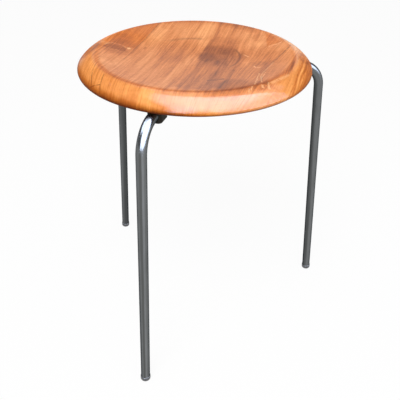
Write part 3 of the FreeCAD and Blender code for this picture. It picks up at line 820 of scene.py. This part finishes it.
    def cracks(self, net: Net, across: Value, along: Value) -> tuple[Value, Value]:
        """The strength of the dark cracks and of the pale tears, which wander and break up a little.

        Args:
            net: the net to build in.
            across, along: the place on the sheet.

        Returns:
            The cracks and the tears.
        """
        wobble = net.noise((across * 0.10, along * 0.14)) * 1.8
        broken = net.noise((across * 0.16, along * 0.16, 30.0)).ease(-0.30, 0.05)
        spot = net.vector(across + wobble, along + wobble, 1.0)
        dark = reduce(Value.most, (crack.line(spot, net) for crack in CRACKS))
        pale = reduce(Value.most, (tear.line(spot, net) for tear in TEARS))
        return dark * broken, pale * broken

    def figure(self, net: Net, grain: Value, along: Value) -> Value:
        """The grain's own tone: broad bands, lines, hairlines, fibres, mottle and short dark pores.

        Args:
            net: the net to build in.
            grain: the place across the grain, swayed.
            along: the place along the grain.

        Returns:
            The tone.
        """
        bands = net.noise((grain * 0.075, along * 0.0045))
        lines = net.noise((grain * 0.36, along * 0.006, 4.0), detail=3.0, roughness=0.75)
        hair = net.noise((grain * 0.16, along * 0.004, 21.0), detail=1.0)
        fibres = net.noise((grain * 1.9, along * 0.045, 9.0))
        mottle = net.noise((grain * 0.22, along * 0.20, 2.0), detail=3.0, roughness=0.6)
        pores = net.noise((grain * 1.5, along * 0.10, 13.0), detail=1.0).ease(0.12, 0.30)
        tone = 0.66 + bands * 0.22 + lines * 0.88 + fibres * 0.50 + mottle * 0.40 - pores * 0.20
        return tone - abs(hair).ease(0.035, 0.005) * 0.14


@dataclass(frozen=True)
class UnderVeneer(Finish):
    """The plainer sheet under the seat: straight grain, dry and dusty, and darker as painted shade."""

    name: str = "under_veneer"
    # painted shade: both grain colours are darkened to stand for the shade under the seat, which the chrome
    # tubes reflect
    light: Rgb = (0.30, 0.140, 0.055)
    dark: Rgb = (0.15, 0.060, 0.022)
    dust: Rgb = (0.23, 0.16, 0.10)

    def sockets(self, net: Net) -> dict[str, Link]:
        """The shader's sockets."""
        x, y, z = net.place()
        sway = net.noise((x * 0.010, y * 0.012), detail=1.0) * 10.0
        bands = net.noise(((x + sway) * 0.11, y * 0.005, z * 0.05), detail=3.0)
        fibres = net.noise((x * 1.8, y * 0.05, z * 0.2))
        tone = 0.5 + bands * 0.9 + fibres * 0.5
        colour = net.ramp(tone, ((0.0, self.dark), (1.0, self.light)))
        dust = net.noise((x * 0.02, y * 0.02, z * 0.02), detail=4.0).ease(-0.05, 0.35)
        return {
            "Base Color": net.mix(dust * 0.35, colour, self.dust),
            "Roughness": 0.62 + fibres * 0.2,
            "Normal": net.relief(fibres * 0.05 + bands * 0.02),
        }


@dataclass(frozen=True)
class PlyEdge(Finish):
    """The cut edge of the moulded plies: light and dark layers that follow the rim."""

    name: str = "ply_edge"
    light: Rgb = (0.62, 0.36, 0.16)
    dark: Rgb = (0.30, 0.135, 0.05)
    glue: Rgb = (0.10, 0.045, 0.02)
    ply: float = 1.2

    def sockets(self, net: Net) -> dict[str, Link]:
        """The shader's sockets."""
        x, y, z = net.place()
        out = (x * x + y * y).root()
        uneven = net.noise((x * 0.05, y * 0.05, z * 0.05)) * 0.4
        wave = ((out + uneven) * (math.pi / self.ply)).sine()
        colour = net.mix(wave.ease(-0.5, 0.5), self.dark, self.light)
        colour = net.mix(abs(wave).ease(0.30, 0.05) * 0.8, colour, self.glue)
        fibres = net.noise((x * 0.9, y * 0.9, z * 2.0), detail=3.0)
        return {
            "Base Color": net.mix(fibres.ease(-0.1, 0.4) * 0.3, colour, self.glue),
            "Roughness": 0.7 + fibres * 0.2,
            "Normal": net.relief(fibres * 0.10 + wave * 0.03),
        }


@dataclass(frozen=True)
class DulledChrome(Finish):
    """Chromed tube gone grey with age and drawn lengthwise, with painted reflection bands and painted shade
    on its inner side.

    The mesh keeps, for each point, how far along the tube it lies and the cosine and sine of its
    angle round it, counted from the side that faces away from the seat's axis.
    """

    name: str = "dulled_chrome"
    bright: Rgb = (0.205, 0.213, 0.218)
    dull: Rgb = (0.105, 0.108, 0.106)
    scuff: Rgb = (0.045, 0.045, 0.046)
    # the colour of the painted shade on the side that faces the seat's axis
    inner: Rgb = (0.030, 0.032, 0.032)
    edge: Rgb = (0.25, 0.26, 0.27)

    def sockets(self, net: Net) -> dict[str, Link]:
        """The shader's sockets."""
        along, outer, side = net.attribute("along")
        bands = net.noise((along * 0.004, outer * 1.6, side * 1.6))
        drawn = net.noise((along * 0.012, outer * 9.0, side * 9.0), detail=3.0, roughness=0.6)
        clouds = net.noise((along * 0.035, outer * 1.2, side * 1.2), detail=4.0)
        # painted reflections: worn is a painted dark band and rubbed a painted light band, each at a fixed
        # angle round the tube
        worn = (outer * 0.978 + side * 0.208).ease(0.955, 0.998)
        rubbed = (outer * 0.809 + side * 0.588).ease(0.960, 0.995)
        tone = 0.46 + bands * 1.0 + drawn * 0.9 + clouds * 0.55 - worn * 0.65 + rubbed * 0.45
        colour = net.ramp(tone, ((0.0, self.dull), (1.0, self.bright)))
        # painted shade: the side that faces the seat's axis darkens to the inner colour
        colour = net.mix((outer + bands * 0.5).ease(-0.15, -1.0) * 0.72, colour, self.inner)
        pits = net.cells((along * 0.16, outer * 2.6, side * 2.6)).ease(0.13, 0.04)
        rare = net.noise((along * 0.02, outer, side)).ease(0.05, 0.25)
        colour = net.mix(pits * rare * 0.6, colour, self.scuff)
        return {
            "Base Color": colour,
            "Metallic": 1.0,
            "Roughness": 0.23 + clouds * 0.14 + drawn * 0.08,
            "Specular Tint": self.edge,
            "Normal": net.relief(drawn * 0.008 + clouds * 0.015),
        }


@dataclass(frozen=True)
class PlainMetal(Finish):
    """A small steel or brass part: its colour, its dirt and how fine its brushing is."""

    clean: Rgb
    dirt: Rgb
    roughness: float
    lathe: bool = False

    def sockets(self, net: Net) -> dict[str, Link]:
        """The shader's sockets: brushed rings or lines, with dirt in patches."""
        x, y, z = net.place()
        if self.lathe:
            brushed = net.noise(((x * x + y * y).root() * 2.5, z * 2.5))
        else:
            brushed = net.noise((x * 2.2, y * 0.12, z * 2.2))
        cloud = net.noise((x * 0.11, y * 0.11, z * 0.11), detail=4.0, roughness=0.6)
        colour = net.mix(cloud.ease(-0.05, 0.35) * 0.4, self.clean, self.dirt)
        return {
            "Base Color": net.mix(brushed.ease(-0.2, 0.5) * 0.25, colour, self.dirt),
            "Metallic": 1.0,
            "Roughness": self.roughness + cloud * 0.2 + brushed * 0.1,
            "Normal": net.relief(brushed * 0.02 + cloud * 0.02),
        }


@dataclass(frozen=True)
class WeldMetal(Finish):
    """A weld bead: grey with straw and blue heat bands and dark specks of scale."""

    name: str = "weld_metal"
    steel: Rgb = (0.20, 0.19, 0.18)
    straw: Rgb = (0.30, 0.19, 0.08)
    blue: Rgb = (0.07, 0.08, 0.14)

    def sockets(self, net: Net) -> dict[str, Link]:
        """The shader's sockets."""
        x, y, z = net.place()
        heat = net.noise((x * 0.18, y * 0.18, z * 0.4))
        specks = net.noise((x * 1.2, y * 1.2, z * 1.2), detail=3.0)
        stops = ((0.0, self.blue), (0.45, self.steel), (1.0, self.straw))
        return {
            "Base Color": net.ramp(heat * 1.6 + 0.5, stops),
            "Metallic": 1.0,
            "Roughness": 0.42 + specks * 0.4,
            "Normal": net.relief(specks * 0.15),
        }


@dataclass(frozen=True)
class MouldedRubber(Finish):
    """Black rubber or soft plastic: a fine moulded skin, a dry bloom and scuffs."""

    fresh: Rgb
    bloom: Rgb
    roughness: float
    shine: float = 0.5

    def sockets(self, net: Net) -> dict[str, Link]:
        """The shader's sockets."""
        x, y, z = net.place()
        skin = net.noise((x * 1.6, y * 1.6, z * 1.6), detail=3.0)
        cloud = net.noise((x * 0.10, y * 0.10, z * 0.14), detail=3.0)
        scuffs = net.noise((x * 0.6, y * 0.6, z * 0.07)).ease(0.12, 0.35)
        colour = net.mix(cloud.ease(-0.2, 0.4) * 0.35, self.fresh, self.bloom)
        return {
            "Base Color": net.mix(scuffs * 0.3, colour, self.bloom),
            "Roughness": self.roughness + skin * 0.15 + scuffs * 0.1,
            "Specular IOR Level": self.shine,
            "Normal": net.relief(skin * 0.04),
        }


# The object's own parts


@dataclass
class TeakSeatFace:
    """The teak sheet on top of the seat: the dish, the crest, the roll and the turned edge."""

    section: SeatSection = SeatSection()
    thickness: float = 0.8
    columns: int = 440
    crest_soft: float = 1.6
    uneven: float = 0.07

    def build(self) -> bpy.types.Object:
        """Turns the section round the seat's axis and closes it with the sheet's inside.

        A point at radius r and height z goes to (r cos a, r sin a, z) for every angle a.

        Returns:
            The piece.
        """
        outside = self.soften_crest(self.section.line())
        inside = self.section.line(self.thickness, thinning=8)[::-1]
        line = np.concatenate([outside, inside])
        a = np.linspace(0.0, 2 * math.pi, self.columns, endpoint=False)
        radius = np.repeat(line[:, :1], self.columns, axis=1)
        height = np.repeat(line[:, 1:], self.columns, axis=1)
        height[: len(outside)] -= self.waves(radius[: len(outside)], a)
        points = np.stack([radius * np.cos(a), radius * np.sin(a), height], axis=-1)
        flat = self.flattened(np.concatenate([line_lengths(outside), line_lengths(inside)[::-1]]), a)
        marks = marks_on(flat[..., 0], flat[..., 1])
        piece = make_piece("seat_face", [Weave(points, kept={"veneer": flat, "marks": marks})])
        piece.data.materials.append(TeakFace().material())
        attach(piece, "root")
        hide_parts("seat_face_veneer")
        return piece

    def soften_crest(self, line: np.ndarray) -> np.ndarray:
        """Rounds the line where the dish meets the roll.

        Near the crest, each height is lowered by (soft - distance)^2 / (4 soft) times the change
        of slope there, which is a parabola that meets both sides without a corner.

        Args:
            line: rows of radius and height.

        Returns:
            The rounded line.
        """
        bowl = self.section.arcs()[0].radius
        slope = self.section.crest_radius / bowl + math.tan(self.section.launch)
        off = np.abs(line[:, 0] - self.section.crest_radius)
        close = np.clip(self.crest_soft - off, 0.0, None)
        softened = line.copy()
        softened[:, 1] -= slope * close**2 / (4 * self.crest_soft)
        return softened

    def waves(self, radius: np.ndarray, angle: np.ndarray) -> np.ndarray:
        """How far pressing and sanding left the face low, in millimetres, never above its shape.

        It is the uneven depth times 1 plus a product of cosines of angle and radius, halved.

        Args:
            radius: the points' radius.
            angle: their angle round the seat's axis.

        Returns:
            A depth for each point.
        """
        swing = np.cos(5 * angle + radius * 0.045) * np.cos(3 * angle - 1.1 + radius * 0.03)
        fade = np.clip(radius / 60.0, 0.0, 1.0) * np.clip((self.section.radius - radius) / 4.0, 0.0, 1.0)
        return self.uneven * 0.5 * (1.0 + swing) * fade

    def flattened(self, lengths: np.ndarray, angle: np.ndarray) -> np.ndarray:
        """Where each point lies on the sheet laid flat, and how far it is from the centre.

        The sheet is unrolled outwards: a point s from the centre over the surface, in the direction
        a, lies at (s cos a, s sin a). Across the grain is that x plus a lean times its y, where the
        lean goes from 0.07 on the left to -0.11 right of the dish and to 0.065 on the right roll,
        as the leaves of veneer run.

        Args:
            lengths: how far over the surface each row lies from the centre.
            angle: the angle of each column.

        Returns:
            Across the grain, along it and the distance from the centre, for each point.
        """
        x, y = lengths[:, None] * np.cos(angle), lengths[:, None] * np.sin(angle)
        lean = 0.07 - 0.18 * eased(x, 45.0, 110.0) + 0.175 * eased(x, 118.0, 150.0)
        return np.stack(np.broadcast_arrays(x + lean * y, y, lengths[:, None]), axis=-1)


@dataclass
class LegTube:
    """One leg: a tube that leaves the hub level, bends down outside the rim and reaches its foot.

    The leg lies in a plane through the seat's axis, turned to its azimuth.
    """

    side: str
    azimuth: float
    tube_radius: float = 7.0
    wall: float = 1.5
    axis_height: float = 421.1
    inner_end: float = 14.0
    bend_start: float = 157.2
    bend_radius: float = 36.7
    splay: float = math.radians(5.0)
    foot_height: float = 8.0
    oval: float = 0.025
    columns: int = 72
    level_steps: int = 25
    bend_steps: int = 48
    down_steps: int = 59
    crisp_angle: float = math.radians(40.0)

    def build(self, chrome: bpy.types.Material) -> bpy.types.Object:
        """Carries a ring along the leg's path, outside and back inside, so that both ends close.

        A point of the ring is the path's point plus r (cos t n + sin t b), where n lies in the leg's
        plane across the path, pointing out of the bend, and b across the plane.

        Args:
            chrome: the tube's material.

        Returns:
            The piece.
        """
        path, normal, bent = self.path()
        t = np.linspace(0.0, 2 * math.pi, self.columns, endpoint=False)
        outer = self.ring(path, normal, t, self.tube_radius, bent)
        inner = self.ring(path[::-1], normal[::-1], t, self.tube_radius - self.wall, bent[::-1])
        points = turn_about_axis(np.concatenate([outer, inner]), self.azimuth)
        far = line_lengths(path)
        far = np.concatenate([far, far[::-1]])[:, None]
        kept = np.stack(np.broadcast_arrays(far, np.cos(t), np.sin(t)), axis=-1)
        piece = make_piece(f"leg_tube_{self.side}", [Weave(points, rows_meet=True, kept={"along": kept})])
        piece.data.set_sharp_from_angle(angle=self.crisp_angle)
        piece.data.materials.append(chrome)
        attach(piece, "root")
        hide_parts(f"leg_{self.side}")
        return piece

    def path(self) -> tuple[np.ndarray, np.ndarray, np.ndarray]:
        """The tube's axis, its outward normals and how far into the bend each point is.

        The level run goes to the bend's start. In the bend, turned by t, the axis is
        (start + R sin t, height - R + R cos t) with the normal (sin t, cos t). From there it runs
        straight down, splayed outwards, to the foot.

        Returns:
            The points, their normals and 0 outside the bend, 1 in its middle.
        """
        sweep = math.pi / 2 - self.splay
        level = np.linspace(self.inner_end, self.bend_start, self.level_steps + 1)[:-1]
        t = np.linspace(0.0, sweep, self.bend_steps + 1)
        bend_x = self.bend_start + self.bend_radius * np.sin(t)
        bend_z = self.axis_height - self.bend_radius + self.bend_radius * np.cos(t)
        fall = bend_z[-1] / math.cos(self.splay) - self.foot_height
        down = np.linspace(0.0, fall, self.down_steps + 1)[1:]
        turn = np.concatenate([np.zeros_like(level), t, np.full_like(down, sweep)])
        x = np.concatenate([level, bend_x, bend_x[-1] + down * math.sin(self.splay)])
        z = np.concatenate([np.full_like(level, self.axis_height), bend_z,
                            bend_z[-1] - down * math.cos(self.splay)])
        path = np.stack([x, np.zeros_like(x), z], axis=1)
        normal = np.stack([np.sin(turn), np.zeros_like(turn), np.cos(turn)], axis=1)
        return path, normal, np.sin(math.pi * turn / sweep)

    def ring(self, path: np.ndarray, normal: np.ndarray, t: np.ndarray, radius: float,
             bent: np.ndarray) -> np.ndarray:
        """Rings of points round the path, a little flattened across the bend's outside.

        Args:
            path: the ring's middles.
            normal: the path's outward normals.
            t: the angles round the ring.
            radius: the ring's radius.
            bent: how far into the bend each middle is.

        Returns:
            A ring of points for each middle.
        """
        flat = radius * (1.0 - self.oval * bent[:, None] * np.clip(np.cos(t), 0.0, None))
        lift = (flat * np.cos(t))[..., None] * normal[:, None, :]
        across = np.array([0.0, 1.0, 0.0])
        return path[:, None, :] + lift + (radius * np.sin(t))[None, :, None] * across


@dataclass
class WeldBeads:
    """The two beads that join one leg to the hub plate, one along each side of the tube."""

    side: str
    azimuth: float
    start: float = 20.0
    end: float = 51.0
    tube_radius: float = 7.0
    axis_height: float = 421.1
    plate_height: float = 428.1
    tube_angle: float = math.radians(36.0)
    reach: float = 9.4
    ripples: int = 15
    ripple_depth: float = 0.16
    end_power: int = 14
    run_points: int = 180
    round_points: int = 28

    def build(self, metal: bpy.types.Material) -> bpy.types.Object:
        """Both beads as one piece.

        Args:
            metal: the beads' material.

        Returns:
            The piece.
        """
        halves = [Weave(turn_about_axis(self.bead(hand), self.azimuth)) for hand in (1, -1)]
        piece = make_piece(f"weld_beads_{self.side}", halves)
        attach(piece, "root")
        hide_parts(f"leg_welds_{self.side}")
        piece.data.materials.append(metal)
        return piece

    def bead(self, hand: int) -> np.ndarray:
        """One bead: a rippled round carried along the corner between tube and plate.

        Its section is an ellipse about the corner's middle, whose size is 1 - d |sin(n pi u)| along
        the run u, as overlapping drops of weld leave it, and falls to 0 at both ends, by the root
        of 1 - |2 u - 1| to the end power.

        Args:
            hand: 1 for the bead on the tube's one side, -1 for the other.

        Returns:
            Rings of points along the bead.
        """
        foot = self.tube_radius * math.cos(self.tube_angle)
        low = self.axis_height + self.tube_radius * math.sin(self.tube_angle)
        middle = np.array([(foot + self.reach) / 2, (low + self.plate_height) / 2])
        half = np.array([(self.reach - foot) / 2, (self.plate_height - low) / 2])
        u = np.linspace(0.0, 1.0, self.run_points)
        t = np.linspace(0.0, 2 * math.pi, self.round_points, endpoint=False) * -hand
        size = np.sqrt(np.clip(1.0 - np.abs(2 * u - 1) ** self.end_power, 0.0, 1.0))
        size = size * (1.0 - self.ripple_depth * np.abs(np.sin(self.ripples * math.pi * u)))
        size[[0, -1]] = 0.0
        x = (self.start + (self.end - self.start) * u)[:, None]
        y = hand * (middle[0] + half[0] * size[:, None] * np.cos(t))
        z = middle[1] + half[1] * size[:, None] * np.sin(t)
        return np.stack(np.broadcast_arrays(x, y, z), axis=-1)


@dataclass
class Fittings:
    """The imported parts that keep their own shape: feet, blocks, hub, screws and the seat's plies."""

    def dress(self) -> int:
        """Gives every one of them its finish.

        Returns:
            How many parts were dressed.
        """
        steel = PlainMetal("zinc_screw", (0.46, 0.45, 0.42), (0.16, 0.12, 0.08), 0.38)
        plate = PlainMetal("hub_plate_steel", (0.30, 0.30, 0.30), (0.10, 0.08, 0.06), 0.34, lathe=True)
        brass = PlainMetal("insert_brass", (0.72, 0.48, 0.20), (0.25, 0.15, 0.07), 0.32)
        block = MouldedRubber("block_rubber", (0.015, 0.011, 0.005), (0.042, 0.034, 0.016), 0.62, shine=0.1)
        pad = MouldedRubber("pad_rubber", (0.022, 0.022, 0.022), (0.10, 0.095, 0.085), 0.75)
        foot = MouldedRubber("foot_plastic", (0.085, 0.086, 0.090), (0.20, 0.20, 0.205), 0.42)
        finishes = {
            "seat_core": PlyEdge(),
            "seat_backing_veneer": UnderVeneer(),
            "hub_plate": plate,
            "hub_pad": pad,
            "hub_screws": steel,
            "hub_washers": steel,
            "hub_inserts": brass,
            "block_screws": steel,
        }
        for side in LegPlace:
            finishes[f"foot_{side.name.lower()}"] = foot
            finishes[f"stacking_block_{side.name.lower()}"] = block
        made: dict[Finish, bpy.types.Material] = {}
        for node, finish in finishes.items():
            if finish not in made:
                made[finish] = finish.material()
            dress(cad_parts[node], made[finish])
        return len(finishes)


class LegPlace(Enum):
    """Where each leg stands, in degrees round the seat's axis."""

    FRONT = -90.0
    RIGHT = 30.0
    LEFT = 150.0


# The studio


@dataclass(frozen=True)
class View:
    """The photograph's camera: where it is, what it looks at, its tilt and its focal length."""

    place: tuple[float, float, float] = (231.25, -669.83, 703.63)
    aim: tuple[float, float, float] = (9.59, 3.16, 192.415)
    tilt: float = 0.0162
    focal_pixels: float = 513.22

    def build(self) -> None:
        """Makes the camera the scene's own.

        The camera's right is the level right turned by the tilt towards up, and up follows.
        """
        place, aim = Vector(self.place) * MM, Vector(self.aim) * MM
        back = (place - aim).normalized()
        level = Vector((0.0, 0.0, 1.0)).cross(back).normalized()
        over = back.cross(level)
        right = level * math.cos(self.tilt) + over * math.sin(self.tilt)
        up = back.cross(right)
        lens = bpy.data.cameras.new("photo_view")
        lens.sensor_width = SENSOR_WIDTH
        lens.lens = self.focal_pixels * SENSOR_WIDTH / PICTURE_WIDTH
        lens.clip_start = 0.01
        camera = set_out("photo_view", lens)
        camera.matrix_world = Matrix.Translation(place) @ Matrix((right, up, back)).transposed().to_4x4()
        bpy.context.scene.camera = camera


@dataclass(frozen=True)
class SoftLamp:
    """A soft rectangular lamp that shiny parts don't show, aimed at a point, in metres and watts."""

    name: str
    place: tuple[float, float, float]
    aim: tuple[float, float, float]
    size: Point
    power: float

    def build(self) -> None:
        """Hangs the lamp."""
        light = bpy.data.lights.new(self.name, "AREA")
        light.shape = "RECTANGLE"
        light.size, light.size_y = self.size
        light.energy = self.power
        lamp = set_out(self.name, light)
        lamp.location = self.place
        way = Vector(self.aim) - Vector(self.place)
        lamp.rotation_euler = way.to_track_quat("-Z", "Y").to_euler()
        lamp.visible_glossy = False


@dataclass(frozen=True)
class ReflectedSheet:
    """A level sheet over the stool that only shiny surfaces see: its height and corners in metres.

    ends gives the share of its glow that is left at its left and its right end, and the two fades
    say between which places, in millimetres, the glow falls to that share.
    """

    name: str
    height: float
    corners: tuple[Point, ...]
    glow: Rgb
    ends: Point = (1.0, 1.0)
    left_fade: Point = (100.0, -400.0)
    right_fade: Point = (550.0, 1100.0)

    def build(self) -> None:
        """Hangs the sheet and hides it from everything but reflections."""
        mesh = bpy.data.meshes.new(self.name)
        corners = [(x, y, self.height) for x, y in self.corners]
        mesh.from_pydata(corners, [], [tuple(range(len(corners)))])
        sheet = set_out(self.name, mesh)
        sheet.visible_camera = False
        sheet.visible_diffuse = False
        sheet.visible_shadow = False
        sheet.visible_transmission = False
        material, net = new_material(self.name)
        mesh.materials.append(material)
        strength = max(self.glow)
        shade = tuple(part / strength for part in self.glow)
        x, _, _ = net.place()
        left_loss, right_loss = (1.0 - end for end in self.ends)
        share = 1.0 - x.ease(*self.left_fade) * left_loss
        share = share * (1.0 - x.ease(*self.right_fade) * right_loss)
        sockets = {"Color": net.mix(share, (0.0, 0.0, 0.0), shade), "Strength": strength}
        glow = net.node("ShaderNodeEmission", inputs=sockets)
        net.node("ShaderNodeOutputMaterial", inputs={"Surface": glow.outputs[0]})


@dataclass
class Studio:
    """A pale floor, a white surround, soft lamps, sheets to reflect and the photograph's camera."""

    floor_radius: float = 14.0
    floor_drop: float = 0.0002
    floor_sides: int = 96
    floor_white: float = 0.92
    surround: float = 0.55
    view: View = View()
    lamps: tuple[SoftLamp, ...] = (
        SoftLamp("key_lamp", (0.10, -1.40, 2.2), (0.0, 0.0, 0.40), (1.4, 1.4), 34.0),
        SoftLamp("fill_lamp", (1.5, -1.0, 0.8), (0.0, 0.0, 0.43), (1.0, 1.0), 6.0),
    )
    sheets: tuple[ReflectedSheet, ...] = (
        ReflectedSheet("bright_sheet", 1.45, (
            (-1.25, 0.42), (-1.25, -0.66), (-0.33, -0.66), (-0.33, -8.0), (9.0, -8.0), (9.0, 3.5),
            (1.5, 0.85), (0.90, 0.60), (0.61, 0.44), (0.45, 0.35), (0.29, 0.267), (0.15, 0.22),
            (0.03, 0.175), (-0.09, 0.137), (-0.27, 0.13), (-0.36, 0.145)),
            (12.0, 13.5, 17.0), (0.62, 0.45)),
        ReflectedSheet("half_lit_sheet", 1.455, (
            (-0.7, 0.1), (1.0, 0.1), (1.0, 0.95), (-0.7, 0.95)), (2.8, 2.9, 3.2)),
        ReflectedSheet("dim_sheet_left", 1.46, (
            (-1.3, 1.25), (-6.0, 4.0), (-6.0, -4.2), (-0.33, -4.2), (-0.36, 0.145)), (0.28, 0.28, 0.28)),
        ReflectedSheet("dim_sheet_right", 1.46, (
            (0.5, 0.8), (0.4, 6.0), (6.0, 6.0), (6.0, 0.5), (1.3, 0.6)), (0.28, 0.28, 0.28)),
    )

    def build(self) -> None:
        """Sets up the studio."""
        bpy.context.scene.view_settings.view_transform = "Standard"
        self.light_surround()
        self.lay_floor()
        for lamp in self.lamps:
            lamp.build()
        for sheet in self.sheets:
            sheet.build()
        self.view.build()

    def light_surround(self) -> None:
        """Makes the world soft grey light, white where the camera or a shiny part sees it."""
        world = bpy.data.worlds.new("surround")
        world.use_nodes = True
        bpy.context.scene.world = world
        net = Net(world.node_tree)
        seen = seen_directly(net)
        soft = net.mix(seen, (self.surround,) * 3, (1.0, 1.0, 1.0))
        light = net.node("ShaderNodeBackground", inputs={"Color": soft, "Strength": 1.0})
        net.node("ShaderNodeOutputWorld", inputs={"Surface": light.outputs[0]})

    def lay_floor(self) -> None:
        """Lays a round pale floor that looks white and keeps a faint shadow."""
        a = np.linspace(0.0, 2 * math.pi, self.floor_sides, endpoint=False)
        x, y = np.cos(a) * self.floor_radius, np.sin(a) * self.floor_radius
        rim = np.stack([x, y, np.full_like(a, -self.floor_drop)], axis=1)
        mesh = bpy.data.meshes.new("floor")
        mesh.from_pydata(rim.tolist(), [], [tuple(range(self.floor_sides))])
        material, net = new_material("pale_floor")
        mesh.materials.append(material)
        x, y, _ = net.place()
        grain = net.noise((x * 0.01, y * 0.01), detail=3.0)
        plain = net.mix(grain.ease(-0.3, 0.3), (0.48, 0.48, 0.48), (0.52, 0.52, 0.52))
        seen = seen_directly(net)
        plain = net.mix(seen, plain, (0.94, 0.94, 0.94))
        matt = net.node("ShaderNodeBsdfDiffuse", inputs={"Color": plain})
        white = net.node("ShaderNodeEmission", inputs={"Strength": 1.0})
        shaders = {0: seen * self.floor_white, 1: matt.outputs[0], 2: white.outputs[0]}
        both = net.node("ShaderNodeMixShader", inputs=shaders)
        net.node("ShaderNodeOutputMaterial", inputs={"Surface": both.outputs[0]})
        floor = set_out("floor", mesh)


def seen_directly(net: Net) -> Value:
    """1 for rays from the camera and rays that shiny or clear surfaces send on, else 0."""
    path = net.node("ShaderNodeLightPath").outputs
    camera, gloss = Value(net, path["Is Camera Ray"]), Value(net, path["Is Glossy Ray"])
    return camera.most(gloss).most(Value(net, path["Is Transmission Ray"]))


def main() -> None:
    """Builds the stool's pieces in order, then the studio."""
    logging.basicConfig(level=logging.INFO, format="%(name)s: %(message)s")
    for name in ("Cube", "Light", "Camera"):
        if name in bpy.data.objects:
            bpy.data.objects.remove(bpy.data.objects[name])
    face = TeakSeatFace().build()
    LOG.info("%s: %d faces", face.name, len(face.data.polygons))
    chrome, weld = DulledChrome().material(), WeldMetal().material()
    for place in LegPlace:
        side = place.name.lower()
        for piece in (LegTube(side, place.value).build(chrome), WeldBeads(side, place.value).build(weld)):
            LOG.info("%s: %d faces", piece.name, len(piece.data.polygons))
    LOG.info("packed parts dressed: %d", Fittings().dress())
    Studio().build()
    LOG.info("studio ready")


if __name__ == "__main__":
    main()
